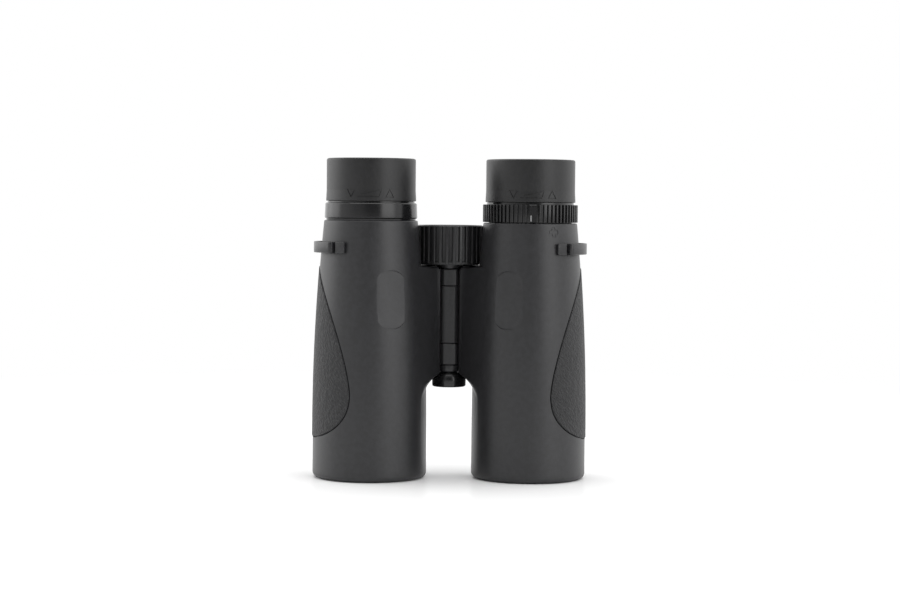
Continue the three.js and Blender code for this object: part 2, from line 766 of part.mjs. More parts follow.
function hingeAxle() {
  const top = knuckleTop - 0.2;
  const step = capTop + 0.2;
  const tube = turned([
    [socketRadius, axleBottom], [axleEndRadius, axleBottom], [axleEndRadius, step],
    [axleRadius, step], [axleRadius, top], [socketRadius, top],
  ], plain);
  const slot = block(-2 * axleRadius, 0, -armWidth / 2 - turnGap, armWidth / 2 + turnGap,
    focusHeight - armHalfSlot, focusHeight + armHalfSlot);
  return fromManifold(cut(toManifold(tube), toManifold(slot)));
}

function upperCollar() {
  const bottom = knuckleTop + touchGap;
  const coneBottom = bottom + topFlangeHeight;
  const top = knobBottom - touchGap;
  const bore = screwRadius + turnGap;
  return turned([
    [bore, bottom], [topFlangeRadius, bottom], [topFlangeRadius, coneBottom],
    [knuckleRadius - 0.2, coneBottom], [knuckleRadius + coneRise, top], [bore, top],
  ], sleeved);
}

function lowerCollar() {
  return ring(axleRadius + touchGap, collarRadius, collarBottom, collarTop, plain, ringEdge);
}

function tripodCap() {
  const cavity = axleEndRadius + touchGap;
  const shoulder = capTop - capShoulder;
  const neck = cavity + capNeckWall;
  const edge = 0.7;
  return turned([
    [0, capBottom], [capRadius - edge, capBottom], [capRadius, capBottom + edge], [capRadius, shoulder - 0.4],
    [capRadius - 0.35, shoulder + 0.6], [capRadius - 1.2, shoulder + 1.7], // the rounded shoulder
    [neck + edgeBreak, capTop - 2 * edgeBreak], [neck, capTop], [cavity, capTop],
    [cavity, capBottom + capFloor], [0, capBottom + capFloor],
  ], sleeved);
}

function knobGrip() {
  const inner = knobRadius - knobRubber;
  const pitch = 360 / knobRibs;
  const half = pitch * knobGrooveShare / 2;
  const floor = knobRadius - knobGrooveDepth;
  const points = [];
  for (let i = 0; i < knobRibs; i += 1) {
    const a = i * pitch;
    points.push([knobRadius, a - half], [floor, a - 0.8 * half]);
    points.push([floor, a + 0.8 * half], [knobRadius, a + half]);
  }
  const ribs = extruded(ribbedShape(points, inner), knobBottom + knobRim, knobTop);
  // the rim is let into the ribbed part by a hair, so that the two join into one body
  const rim = ring(inner + hair, knobRadius, knobBottom, knobBottom + knobRim + hair, fine, edgeBreak);
  return fromManifold(join(toManifold(ribs), toManifold(rim)));
}

function knobCore() {
  const outer = knobRadius - knobRubber - touchGap;
  const top = knobTop - knobCapThickness - 2 * touchGap;
  return ring(screwRadius + touchGap, outer, knobBottom, top, plain);
}

function knobCap() {
  const outer = knobRadius - knobRubber - touchGap;
  const top = knobTop - touchGap;
  const bottom = top - knobCapThickness;
  return turned([
    [0, bottom], [outer, bottom], [outer, top - edgeBreak], [outer - edgeBreak, top], [0, top],
  ], plain);
}

function focusScrew() {
  return rod(screwRadius, focusHeight - screwEnd, screwTop);
}

function focusNut() {
  const inner = screwRadius + touchGap;
  const half = nutHeight / 2;
  return ring(inner, inner + nutWall, focusHeight - half, focusHeight + half, sleeved);
}

// ---- assembly

const binoculars = new THREE.Group();

function add(parent, name, geometry, finish) {
  const mesh = new THREE.Mesh(geometry, new THREE.MeshStandardMaterial(finishes[finish]));
  mesh.name = name;
  parent.add(mesh);
}

function barrel(label, side, top) {
  const group = new THREE.Group();
  group.position.set(-side * halfSpacing, 0, 0);
  const pieces = [
    ['armor', armor(side, top), 'armorRubber'],
    ['body_shell', bodyShell(side, top), 'blackMetal'],
    ['grip_panel', gripPanel(side), 'gripRubber'],
    ['strap_lug', strapLug(side), 'satinPlastic'],
    ['objective_ring', objectiveRing(), 'blackMetal'],
    ['objective_lens', objectiveLens(), 'coatedGlass'],
    ['focusing_cell', focusingCell(), 'blackMetal'],
    ['focusing_lens', focusingLens(), 'coatedGlass'],
    ['focus_arm', focusArm(side), 'steel'],
    ['prism_cage', prismCage(), 'blackMetal'],
    ['half_prism', halfPrism(), 'prismGlass'],
    ['roof_prism', roofPrism(), 'prismGlass'],
    ['eyepiece_tube', eyepieceTube(), 'blackMetal'],
    ['eye_lens', eyeLens(), 'coatedGlass'],
    ['field_cell', fieldCell(), 'blackMetal'],
    ['field_lens', fieldLens(), 'coatedGlass'],
    ['lift_ring', liftRing(), 'blackMetal'],
    ['eyecup_sleeve', eyecupSleeve(), 'satinPlastic'],
    ['eyecup', eyecup(), 'eyecupRubber'],
  ];
  for (const [piece, geometry, finish] of pieces) add(group, `${label}_${piece}`, geometry, finish);
  return group;
}

const left = barrel('left', 1, armorTop);
const right = barrel('right', -1, diopterBottom - touchGap);
add(left, 'left_ocular_ring', plainRing(), 'satinPlastic');
add(right, 'diopter_ring', diopterRing(), 'satinPlastic');

const hinge = new THREE.Group();
hinge.position.set(0, hingeY, 0);
add(hinge, 'hinge_axle', hingeAxle(), 'blackMetal');
add(hinge, 'upper_collar', upperCollar(), 'blackMetal');
add(hinge, 'lower_collar', lowerCollar(), 'blackMetal');
add(hinge, 'tripod_cap', tripodCap(), 'satinPlastic');
add(hinge, 'focus_knob_grip', knobGrip(), 'eyecupRubber');
add(hinge, 'focus_knob_core', knobCore(), 'satinPlastic');
add(hinge, 'focus_knob_cap', knobCap(), 'satinPlastic');
add(hinge, 'focus_screw', focusScrew(), 'brass');
add(hinge, 'focus_nut', focusNut(), 'brass');
binoculars.add(left, right, hinge);

export default binoculars;
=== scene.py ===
import math
import bmesh
import bpy
import numpy as np
from mathutils import Matrix, Vector


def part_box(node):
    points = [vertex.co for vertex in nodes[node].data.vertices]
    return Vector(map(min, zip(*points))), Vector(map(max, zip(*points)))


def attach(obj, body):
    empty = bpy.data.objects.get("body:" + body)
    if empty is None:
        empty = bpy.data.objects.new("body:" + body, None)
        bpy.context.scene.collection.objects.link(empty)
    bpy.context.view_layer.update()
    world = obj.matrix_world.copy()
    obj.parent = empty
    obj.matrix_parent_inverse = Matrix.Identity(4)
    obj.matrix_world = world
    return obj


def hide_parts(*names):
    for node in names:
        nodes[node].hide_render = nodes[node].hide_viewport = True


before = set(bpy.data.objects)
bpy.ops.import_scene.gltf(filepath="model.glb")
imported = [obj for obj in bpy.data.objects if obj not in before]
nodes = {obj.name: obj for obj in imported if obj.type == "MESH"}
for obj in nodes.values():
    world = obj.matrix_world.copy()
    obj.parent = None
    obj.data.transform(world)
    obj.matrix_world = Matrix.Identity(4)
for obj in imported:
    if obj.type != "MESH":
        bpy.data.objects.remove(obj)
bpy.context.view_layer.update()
unit = 0.001  # sizes below are in millimetres


def boxOf(node):
    low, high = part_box(node)
    return np.array(low) / unit, np.array(high) / unit


def middleOf(node):
    low, high = boxOf(node)
    return (low + high) / 2


# places and main sizes, read from the frame
axisX = middleOf("right_eyecup")[0]
hingeY = middleOf("tripod_cap")[1]
hinge = (0, hingeY)
sides = {"left": 1, "right": -1}  # which way the hinge lies from each barrel's axis
barrelRadius = -boxOf("left_armor")[0][1]
objectTop = boxOf("left_eyecup")[1][2]
armorTop = {s: boxOf(s + "_armor")[1][2] for s in sides}
ringLow, ringHigh = boxOf("left_ocular_ring")
ringRadius = (ringHigh[0] - ringLow[0]) / 2
neckRadius = ringRadius + 0.2
straightTop = 20.0


# meshes

def onCircle(centre, radius, angle):
    return (centre[0] + radius * math.cos(angle), centre[1] + radius * math.sin(angle))


def rounded(outline, radii, steps=4, closed=True):
    # each corner of an outline becomes an arc; a radius of 0 keeps it sharp
    points = [np.array(p, float) for p in outline]
    result = []
    for i, corner in enumerate(points):
        radius = radii[i] if hasattr(radii, "__len__") else radii
        if radius <= 0 or (not closed and i in (0, len(points) - 1)):
            result.append(tuple(corner))
            continue
        back = points[i - 1] - corner
        ahead = points[(i + 1) % len(points)] - corner
        lengths = np.linalg.norm(back), np.linalg.norm(ahead)
        back, ahead = back / lengths[0], ahead / lengths[1]
        half = math.acos(np.clip(back @ ahead, -1, 1)) / 2
        reach = min(radius / math.tan(half), 0.49 * min(lengths))
        for t in np.linspace(0, 1, steps + 1):
            a, b = corner + back * reach * (1 - t), corner + ahead * reach * t
            result.append(tuple(a + (b - a) * t))
    return result


def smoothed(obj, angle=32):
    obj.data.shade_smooth()
    obj.data.set_sharp_from_angle(angle=math.radians(angle))
    return obj


def makeObject(name, points, faces):
    mesh = bpy.data.meshes.new(name)
    mesh.from_pydata([tuple(np.array(p) * unit) for p in points], [], faces)
    work = bmesh.new()
    work.from_mesh(mesh)
    bmesh.ops.remove_doubles(work, verts=work.verts, dist=1e-7)
    bmesh.ops.recalc_face_normals(work, faces=work.faces)
    work.to_mesh(mesh)
    work.free()
    obj = bpy.data.objects.new(name, mesh)
    bpy.context.scene.collection.objects.link(obj)
    return smoothed(obj)


def turned(name, outline, centre, radii=0, steps=96, arcSteps=4):
    # outline is (radius, height) pairs; it closes on itself, or starts and ends on the axis
    outline = rounded(outline, radii, arcSteps) if np.any(np.array(radii) > 0) else list(outline)
    onAxis = outline[0][0] < 1e-6 and outline[-1][0] < 1e-6
    turn = np.linspace(0, 2 * math.pi, steps, endpoint=False)
    points, faces, rows = [], [], []
    for r, z in outline:
        if r < 1e-6:
            rows.append([len(points)] * steps)
            points.append((centre[0], centre[1], z))
            continue
        rows.append(list(range(len(points), len(points) + steps)))
        points += [(*onCircle(centre, r, a), z) for a in turn]
    if not onAxis:
        rows.append(rows[0])
    for low, high in zip(rows, rows[1:]):
        for k in range(steps):
            n = (k + 1) % steps
            corners = list(dict.fromkeys([low[k], low[n], high[n], high[k]]))
            if len(corners) > 2:
                faces.append(corners)
    return makeObject(name, points, faces)


def strips(width, starts):
    # quads between rows of points, given where each row starts
    faces = []
    for a, b in zip(starts, starts[1:]):
        faces += [[a + k, a + (k + 1) % width, b + (k + 1) % width, b + k] for k in range(width)]
    return faces


def skin(name, rows, closedRows=False):
    # rings of points, each the same length; flat ends unless the rows close on themselves
    width = len(rows[0])
    points = [p for row in rows for p in row]
    starts = list(range(0, len(points), width))
    if closedRows:
        return makeObject(name, points, strips(width, starts + [0]))
    ends = [list(range(width)), list(range(len(points) - width, len(points)))]
    return makeObject(name, points, strips(width, starts) + ends)


def applied(obj):
    graph = bpy.context.evaluated_depsgraph_get()
    mesh = bpy.data.meshes.new_from_object(obj.evaluated_get(graph), depsgraph=graph)
    obj.modifiers.clear()
    obj.data = mesh
    return obj


def carve(obj, tools, operation="DIFFERENCE", smoothAngle=32):
    for tool in tools:
        change = obj.modifiers.new("carve", "BOOLEAN")
        change.operation, change.solver, change.object = operation, "MANIFOLD", tool
    applied(obj)
    for tool in tools:
        bpy.data.objects.remove(tool)
    return smoothed(obj, smoothAngle)


def softened(obj, width):
    edge = obj.modifiers.new("soft", "BEVEL")
    edge.width, edge.segments, edge.limit_method = width * unit, 3, "ANGLE"
    edge.angle_limit = math.radians(40)
    edge.use_clamp_overlap = True
    return smoothed(applied(obj), 50)


def joined(first, second):
    work = bmesh.new()
    for part in (first, second):
        work.from_mesh(part.data)
    work.to_mesh(first.data)
    work.free()
    bpy.data.objects.remove(second)
    return smoothed(first, 40)


def block(name, low, high):
    (x0, y0, z0), (x1, y1, z1) = low, high
    ring = [(x0, y0), (x1, y0), (x1, y1), (x0, y1)]
    return skin(name, [[(x, y, z) for x, y in ring] for z in (z0, z1)])


def place(obj, body, slot, material, *replaced):
    obj.data.materials.clear()
    obj.data.materials.append(material)
    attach(obj, body)
    if replaced:
        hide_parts(*replaced)
    return obj


# node trees: a Wire is an output socket that can be used in sums

class Wire:
    def __init__(self, graph, socket):
        self.graph, self.socket = graph, socket

    def math(self, operation, *others):
        return self.graph.node("ShaderNodeMath", {"operation": operation}, [self, *others])

    def __add__(self, other):
        return self.math("ADD", other)

    def __sub__(self, other):
        return self.math("SUBTRACT", other)

    def __rsub__(self, other):
        return self.graph.node("ShaderNodeMath", {"operation": "SUBTRACT"}, [other, self])

    def __mul__(self, other):
        return self.math("MULTIPLY", other)

    def __truediv__(self, other):
        return self.math("DIVIDE", other)

    __radd__, __rmul__ = __add__, __mul__

    def steps(self, low, high, outLow=0.0, outHigh=1.0):
        values = [self, low, high, outLow, outHigh]
        return self.graph.node("ShaderNodeMapRange", {"interpolation_type": "SMOOTHSTEP"}, values)


class Graph:
    def __init__(self, tree):
        self.tree = tree

    def node(self, kind, settings=None, values=None, output=0):
        made = self.tree.nodes.new(kind)
        for key, value in (settings or {}).items():
            if key == "stops":
                self.setStops(made.color_ramp, value)
            else:
                setattr(made, key, value)
        pairs = values.items() if isinstance(values, dict) else enumerate(values or [])
        for key, value in pairs:
            wires = value if isinstance(value, list) else [value]
            if isinstance(wires[0], Wire):
                for wire in wires:
                    self.tree.links.new(wire.socket, made.inputs[key])
            else:
                made.inputs[key].default_value = value
        return Wire(self, made.outputs[output]) if made.outputs else None

    def mix(self, factor, first, second):
        values = {0: factor, 6: first, 7: second}
        return self.node("ShaderNodeMix", {"data_type": "RGBA", "clamp_factor": True}, values, 2)

    def setStops(self, ramp, stops):
        ramp.interpolation = "EASE"
        while len(ramp.elements) < len(stops):
            ramp.elements.new(0.5)
        for element, (at, value) in zip(ramp.elements, stops):
            element.position, element.color = at, gray(value, value)

    def noise(self, where, scale, detail=2.0, roughness=0.5, distortion=0.0):
        values = {"Vector": where, "Scale": scale, "Detail": detail, "Roughness": roughness,
                  "Distortion": distortion}
        return self.node("ShaderNodeTexNoise", {}, values, "Fac")

    def bump(self, height, distance):
        values = {"Strength": 1.0, "Distance": distance * unit, "Height": height}
        return self.node("ShaderNodeBump", {}, values)

    def mapping(self, vector, turn=0, scale=(1, 1, 1)):
        values = {"Vector": vector, "Rotation": (0, 0, math.radians(turn)), "Scale": scale}
        return self.node("ShaderNodeMapping", {}, values)


def newMaterial(name):
    material = bpy.data.materials.new(name)
    material.use_nodes = True
    material.node_tree.nodes.clear()
    graph = Graph(material.node_tree)
    return material, graph, graph.node("ShaderNodeTexCoord", output="Object")


def finishMaterial(graph, values):
    shader = graph.node("ShaderNodeBsdfPrincipled", {}, values)
    graph.node("ShaderNodeOutputMaterial", {}, {"Surface": shader})


# materials

print("materials")


def gray(value, blue):
    return (value, value, blue, 1)


armorFinish = {"color": gray(0.017, 0.018), "light": gray(0.022, 0.024),
               "roughness": 0.37, "grain": 2600, "grainDepth": 0.035, "mottle": 420}
gripFinish = {"color": gray(0.015, 0.016), "light": gray(0.026, 0.028),
              "roughness": 0.5, "length": 950, "across": 2300, "lean": 38, "depth": 0.5}
cupFinish = {"color": gray(0.006, 0.0065), "light": gray(0.009, 0.0095),
             "roughness": 0.4, "grain": 3200, "grainDepth": 0.025, "mottle": 500}
knobFinish = {"color": gray(0.008, 0.0085), "light": gray(0.012, 0.013),
              "roughness": 0.33, "grain": 3000, "grainDepth": 0.02, "mottle": 600}
metalFinish = {"color": gray(0.016, 0.017), "light": gray(0.022, 0.024),
               "roughness": 0.34, "grain": 900, "grainDepth": 0.008}
ringFinish = {"color": gray(0.005, 0.0055), "light": gray(0.008, 0.0085),
              "roughness": 0.2, "grain": 1500, "grainDepth": 0.006}


def rubberMaterial(name, finish):
    material, graph, where = newMaterial(name)
    mottle = graph.noise(where, finish["mottle"], 3.0, 0.6)
    grain = graph.noise(where, finish["grain"], 2.0, 0.6)
    patches = graph.noise(where, 60, 2.0)
    color = graph.mix(mottle.steps(0.3, 0.7), finish["color"], finish["light"])
    roughness = finish["roughness"] - 0.05 + 0.06 * patches + 0.08 * mottle
    normal = graph.bump(grain + 0.4 * mottle, finish["grainDepth"])
    finishMaterial(graph, {"Base Color": color, "Roughness": roughness, "Normal": normal,
                           "Specular IOR Level": 0.5})
    return material


def gripMaterial(name, finish, side):
    # short creases that lean across the panel, as on fine leather
    material, graph = newMaterial(name)[:2]
    surface = graph.node("ShaderNodeUVMap", {"uv_map": "surface"})
    wander = graph.noise(surface, 9.0, 2.0, 0.5)
    leaned = graph.mapping(surface, side * finish["lean"])
    stretched = graph.mapping(leaned, scale=(finish["across"] / 1000, finish["length"] / 1000, 1))
    creases = graph.node("ShaderNodeTexVoronoi", {"feature": "SMOOTH_F1"},
                         {"Vector": stretched, "Scale": 7.0, "Randomness": 1.0}, "Distance")
    weave = graph.noise(stretched, 12.0, 3.0, 0.6, 1.2)
    height = creases.steps(0.05, 0.7) * 0.8 + weave * 0.6 + wander * 0.1
    # painted shade: the creases are coloured darker than the tops between them, following the bump's depth
    color = graph.mix(height.steps(0.35, 0.85), finish["light"], finish["color"])
    normal = graph.bump(1 - height, finish["depth"])
    finishMaterial(graph, {"Base Color": color, "Roughness": finish["roughness"] + 0.1 * weave,
                           "Normal": normal, "Specular IOR Level": 0.45})
    return material


def metalMaterial(name, finish):
    material, graph, where = newMaterial(name)
    grain = graph.noise(where, finish["grain"], 3.0, 0.6)
    patches = graph.noise(where, 90, 2.0)
    color = graph.mix(grain.steps(0.3, 0.7), finish["color"], finish["light"])
    roughness = finish["roughness"] - 0.03 + 0.1 * patches * grain
    normal = graph.bump(grain, finish["grainDepth"])
    finishMaterial(graph, {"Base Color": color, "Roughness": roughness, "Normal": normal})
    return material


def machinedMaterial(name, color, dark, roughness):
    # fine lines round a turned or milled piece
    material, graph, where = newMaterial(name)
    lines = graph.noise(graph.mapping(where, scale=(0.15, 0.15, 6)), 700, 3.0, 0.7)
    patches = graph.noise(where, 150, 2.0)
    shade = graph.mix(lines.steps(0.3, 0.8) * 0.6 + patches * 0.3, color, dark)
    finishMaterial(graph, {"Base Color": shade, "Metallic": 1.0,
                           "Roughness": roughness + 0.12 * lines, "Normal": graph.bump(lines, 0.004)})
    return material


def glassMaterial(name, tint, coatReflection, alpha):
    # a dark pool with a thin coloured coating, whose colour is a painted reflection that grows towards
    # grazing angles
    material, graph, where = newMaterial(name)
    edge = graph.node("ShaderNodeLayerWeight", {}, {"Blend": 0.35}, "Facing")
    cloud = graph.noise(where, 40, 2.0)
    # painted reflection: the coating's colour is mixed in more strongly where the surface is seen at a
    # grazing angle
    color = graph.mix(edge.steps(0.1, 0.8) + 0.05 * cloud, tint, coatReflection)
    finishMaterial(graph, {"Base Color": color, "Roughness": 0.02 + 0.03 * cloud,
                           "Specular IOR Level": 0.8, "Coat Weight": 0.6, "Coat Roughness": 0.02,
                           "Alpha": alpha + 0.02 * cloud})
    return material


armorRubber = rubberMaterial("armorRubber", armorFinish)
cupRubber = rubberMaterial("cupRubber", cupFinish)
knobRubber = rubberMaterial("knobRubber", knobFinish)
gripRubber = {s: gripMaterial("gripRubber_" + s, gripFinish, sides[s]) for s in sides}
hingeMetal = metalMaterial("hingeMetal", metalFinish)
bodyMetal = metalMaterial("bodyMetal", {**metalFinish, "roughness": 0.38})
satinPlastic = metalMaterial("satinPlastic", ringFinish)
lugFinish = {**ringFinish, "roughness": 0.32, "color": gray(0.02, 0.022)}
lugPlastic = metalMaterial("lugPlastic", lugFinish)
mattBlack = metalMaterial("mattBlack", {**metalFinish, "roughness": 0.6})
tickFinish = {**ringFinish, "color": gray(0.2, 0.2), "light": gray(0.26, 0.26)}
tickPaint = metalMaterial("tickPaint", tickFinish)
steel = machinedMaterial("steel", (0.5, 0.51, 0.53, 1), (0.3, 0.31, 0.33, 1), 0.28)
brass = machinedMaterial("brass", (0.72, 0.52, 0.24, 1), (0.5, 0.34, 0.14, 1), 0.3)
coatedGlass = glassMaterial("coatedGlass", (0.006, 0.012, 0.011, 1), (0.05, 0.03, 0.09, 1), 0.9)
prismGlass = glassMaterial("prismGlass", (0.35, 0.42, 0.4, 1), (0.5, 0.55, 0.55, 1), 0.5)


# barrel armour: one height field about the optical axis, with its half of the bridge

armorSizes = {"thickness": 2.2, "rimRounding": 2.6, "topRounding": 0.6, "lipInset": 3.5, "lipHeight": 2.7,
              "bridgeDrop": 21.5, "slotHalfWidth": 4.7, "front": 8.0, "back": 7.3, "frontBlend": 60.0,
              "backBlend": 140.0, "frontSlope": 0.35, "backSlope": 0.1, "edgeRounding": 1.1,
              "archRadius": 12.0, "archHeight": 36.6, "hingeRoom": 6.5, "flangeRoom": 9.8,
              "capRoom": 8.55, "knobRoom": 16.4, "bridgeRounding": 0.9, "fadeFrom": 14.0, "recess": 1.2,
              "plate": 3.7, "plateFrom": 14.5, "plateBottom": 51.7, "plateDrop": 2.6,
              "backRise": 0.85, "riseBottom": 91, "riseStart": 6, "riseRun": 10, "riseNear": 13.6,
              "riseFade": 1.2}
bridgeTop = armorTop["left"] - armorSizes["bridgeDrop"]
knobBottom = boxOf("focus_knob_grip")[0][2]
capTopZ = boxOf("tripod_cap")[1][2]


def armorRadiusAt(z):
    t = np.maximum(0, np.asarray(z, float) - straightTop) / (armorTop["left"] - straightTop)
    return barrelRadius - (barrelRadius - neckRadius) * t * t


def smoothMin(a, b, reach):
    h = np.clip(0.5 + 0.5 * (b - a) / reach, 0, 1)
    return b + (a - b) * h - reach * h * (1 - h)


def bridgeCurve(r, angle, turn, edgeY, slope, steps=24):
    # a curve that leaves the barrel along its tangent and ends at the slot's edge
    edgeX = axisX - armorSizes["slotHalfWidth"]
    a = math.radians(angle)
    start = np.array([r * math.sin(a), -r * math.cos(a)])
    way = np.array([turn * math.cos(a), turn * math.sin(a)])
    along = (edgeY - start[1] + slope * (start[0] - edgeX)) / (way[1] - slope * way[0])
    middle, end = start + way * along, np.array([edgeX, edgeY])
    t = np.linspace(0, 1, steps)[:, None]
    return (1 - t) ** 2 * start + 2 * t * (1 - t) * middle + t ** 2 * end


def biteRadius(theta, radius, backRadius=None):
    # how far the surface may reach before a round hollow about the hinge axis
    distance, heading = math.hypot(axisX, hingeY), math.atan2(hingeY, axisX)
    off = theta - heading
    if backRadius:
        radius = np.where(off < 0, radius, backRadius)
    inside = radius ** 2 - (distance * np.sin(off)) ** 2
    near = distance * np.cos(off) - np.sqrt(np.maximum(inside, 0))
    return np.where((inside > 0) & (np.cos(off) > 0), near, 1e3)


def armorRow(theta, z, top):
    s = armorSizes
    r = armorRadiusAt(z)
    rim = max(0.0, s["rimRounding"] - z)
    body = r - (s["rimRounding"] - math.sqrt(s["rimRounding"] ** 2 - rim ** 2))
    last = max(0.0, z - (top - s["topRounding"]))
    body -= s["topRounding"] - math.sqrt(max(0, s["topRounding"] ** 2 - last ** 2))
    surface = np.full(len(theta), body)
    if z <= bridgeTop:
        front = bridgeCurve(r, s["frontBlend"], 1, hingeY - s["front"], s["frontSlope"])
        back = bridgeCurve(r, s["backBlend"], -1, hingeY + s["back"], s["backSlope"])[::-1]
        path = np.vstack([front, back])
        radii = np.zeros(len(path))
        radii[[len(front) - 1, len(front)]] = s["edgeRounding"]
        path = np.array(rounded([tuple(p) for p in path], radii, 6, closed=False))
        angles, reach = np.arctan2(path[:, 1], path[:, 0]), np.hypot(path[:, 0], path[:, 1])
        wing = np.interp(theta, angles, reach, left=r, right=r)
        inset = max(0.0, z - (bridgeTop - s["bridgeRounding"]))
        drop = s["bridgeRounding"] - math.sqrt(max(0, s["bridgeRounding"] ** 2 - inset ** 2))
        wing = wing - drop * np.clip((wing - r) / 3, 0, 1)
        gain = wing - r
        above = max(0.0, z - s["archHeight"])
        halfArch = math.sqrt(max(0, s["archRadius"] ** 2 - above ** 2))
        if halfArch > 0:
            limit = (axisX - halfArch) / np.maximum(np.cos(theta), 0.2) - r
            gain = np.where(gain > 0, smoothMin(gain, limit, 1.6), gain)
        foot = np.clip((z - s["fadeFrom"]) / (s["archHeight"] - s["fadeFrom"]), 0, 1)
        gain = gain * foot * foot * (3 - 2 * foot)
        surface = surface + np.maximum(gain, 0)
        room = s["capRoom"] if z < capTopZ + 0.2 else s["hingeRoom"]
        bite = biteRadius(theta, room)
        if z > bridgeTop - s["recess"]:
            bite = biteRadius(theta, s["flangeRoom"], s["hingeRoom"])
        surface = smoothMin(surface, bite, 0.25)
    return surface


def armorPoints(side, theta, radius, z):
    # the back of the bridge's top stands a little higher than its front
    s = armorSizes
    level = (z - s["riseBottom"]) / (bridgeTop - s["riseBottom"])
    level = np.clip(level, 0, 1) if z < bridgeTop + 0.01 else 0
    points = []
    for r, a in zip(radius, theta):
        x, y = r * math.cos(a), r * math.sin(a)
        rise = np.clip((y - s["riseStart"]) / s["riseRun"], 0, 1)
        rise = rise * np.clip((x - axisX + s["riseNear"]) / s["riseFade"], 0, 1)
        points.append((-side * axisX + side * x, y, z + s["backRise"] * level * rise))
    return points


def columnAngles():
    spans = [(-180, -34, 96), (-34, -3, 34), (-3, 37, 96), (37, 54, 17), (54, 180, 84)]
    parts = [np.linspace(a, b, n, endpoint=False) for a, b, n in spans]
    return np.radians(np.concatenate(parts))


def armorHeights(top):
    s = armorSizes
    marks = list(s["rimRounding"] * (1 - np.cos(np.radians(np.linspace(0, 90, 9)))))
    marks += list(np.arange(4, 36, 1.6)) + list(np.arange(36, 49, 0.35)) + list(np.arange(49, 95.5, 1.5))
    marks += [95.9, 96.3, bridgeTop - s["recess"] - 0.02, bridgeTop - s["recess"] + 0.02]
    marks += list(bridgeTop - s["bridgeRounding"] * (1 - np.sin(np.radians(np.linspace(0, 90, 6)))))
    marks += list(np.arange(bridgeTop + 0.3, bridgeTop + 3.4, 0.3)) + list(np.arange(102, top - 1, 1.4))
    marks += list(top - s["topRounding"] * (1 - np.sin(np.radians(np.linspace(0, 90, 5)))))
    return sorted(set(round(m, 4) for m in marks))


def armorBody(label):
    side, s, top = sides[label], armorSizes, armorTop[label]
    theta = columnAngles()
    rows = []
    for z in armorHeights(top):
        surface = armorRow(theta, z, top)
        if z > bridgeTop:
            room = biteRadius(theta, s["knobRoom"])
            ease = np.clip((z - knobBottom + 1.4) / 0.7, 0, 1)
            surface = np.where(room < 500, surface - ease * np.maximum(0, surface - room), surface)
        rows.append(armorPoints(side, theta, surface, z))
        if abs(z - bridgeTop) < 1e-6:  # the flat top of the bridge
            bare = np.full(len(theta), armorRadiusAt(z))
            for t in (0.06, 0.35, 0.7, 0.94, 1):
                ledge = surface + (np.minimum(bare, surface) - surface) * t
                rows.append(armorPoints(side, theta, ledge, z + 0.002 * t))
    inner = [(armorRadiusAt(z) - s["thickness"], z) for z in np.linspace(top, s["lipHeight"], 9)]
    lip = barrelRadius - s["lipInset"]
    inner += [(lip, s["lipHeight"]), (lip, 0.5), (lip + 0.5, 0)]
    for r, z in inner:
        rows.append(armorPoints(side, theta, np.full(len(theta), r), z))
    return skin(label + "Armor", rows, closedRows=True)


gripSizes = {"bottom": 19.0, "widest": 40.0, "drop": 21.4, "reach": 32.3, "depth": 1.0, "proud": 0.35,
             "gap": 0.4, "rounding": 0.45}
gripTop = armorTop["left"] - gripSizes["drop"]


def gripHalfWidth(z):
    s = gripSizes
    if z >= s["widest"]:
        t = (z - s["widest"]) / (gripTop - s["widest"])
        return s["reach"] * max(0, 1 - t ** 1.4) ** 0.7
    t = (s["widest"] - z) / (s["widest"] - s["bottom"])
    return s["reach"] * max(0, 1 - t ** 2.4) ** (1 / 2.4)


def gripOutline(margin, count=260):
    # a teardrop in (arc, height), evenly spaced and moved outwards by a margin
    s = gripSizes
    rise = (1 - np.cos(np.linspace(0, math.pi, 400))) / 2
    z = s["bottom"] + (gripTop - s["bottom"]) * rise
    w = np.array([gripHalfWidth(h) for h in z])
    line = np.vstack([np.column_stack([w, z]), np.column_stack([-w[-2:0:-1], z[-2:0:-1]])])
    ring = np.vstack([line, line[:1]])
    length = np.concatenate([[0], np.cumsum(np.linalg.norm(np.diff(ring, axis=0), axis=1))])
    at = np.linspace(0, length[-1], count, endpoint=False)
    even = np.column_stack([np.interp(at, length, ring[:, k]) for k in (0, 1)])
    ahead = np.roll(even, -1, 0) - np.roll(even, 1, 0)
    normal = np.column_stack([ahead[:, 1], -ahead[:, 0]]) / np.linalg.norm(ahead, axis=1)[:, None]
    return even + normal * margin


def wrapped(side, arcLength, z, lift):
    # a point on the armour, from its arc length round from the outer side
    r = armorRadiusAt(z)
    a = arcLength / r
    r += lift
    return (-side * axisX - side * r * math.cos(a), r * math.sin(a), z)


def gripShape(name, side, rings):
    # rings of (margin, lift) from the middle of the inner face, round the edge, to the middle of the outer
    middle = np.array([0.0, 45.0])
    outline = gripOutline(0)
    points, width = [], len(outline)
    for shrink, margin, lift in rings:
        ring = gripOutline(margin) if margin else outline
        ring = middle + (ring - middle) * shrink
        points += [wrapped(side, u, v, lift) for u, v in ring]
    faces = strips(width, list(range(0, len(points), width)))
    for first, lift in ((0, rings[0][2]), (len(points) - width, rings[-1][2])):
        points.append(wrapped(side, middle[0], middle[1], lift))
        faces += [[first + k, first + (k + 1) % width, len(points) - 1] for k in range(width)]
    return makeObject(name, points, faces)


def surfaceMap(obj, side):
    # arc length and height on the barrel, for patterns that follow it
    layer = obj.data.uv_layers.new(name="surface")
    place = np.empty(len(obj.data.vertices) * 3)
    obj.data.vertices.foreach_get("co", place)
    place = place.reshape(-1, 3) / unit
    corner = np.empty(len(obj.data.loops), int)
    obj.data.loops.foreach_get("vertex_index", corner)
    around = np.arctan2(place[:, 1], -side * (place[:, 0] + side * axisX)) * barrelRadius
    uv = np.column_stack([around[corner], place[corner, 2]]) / 10
    layer.data.foreach_set("uv", uv.ravel())


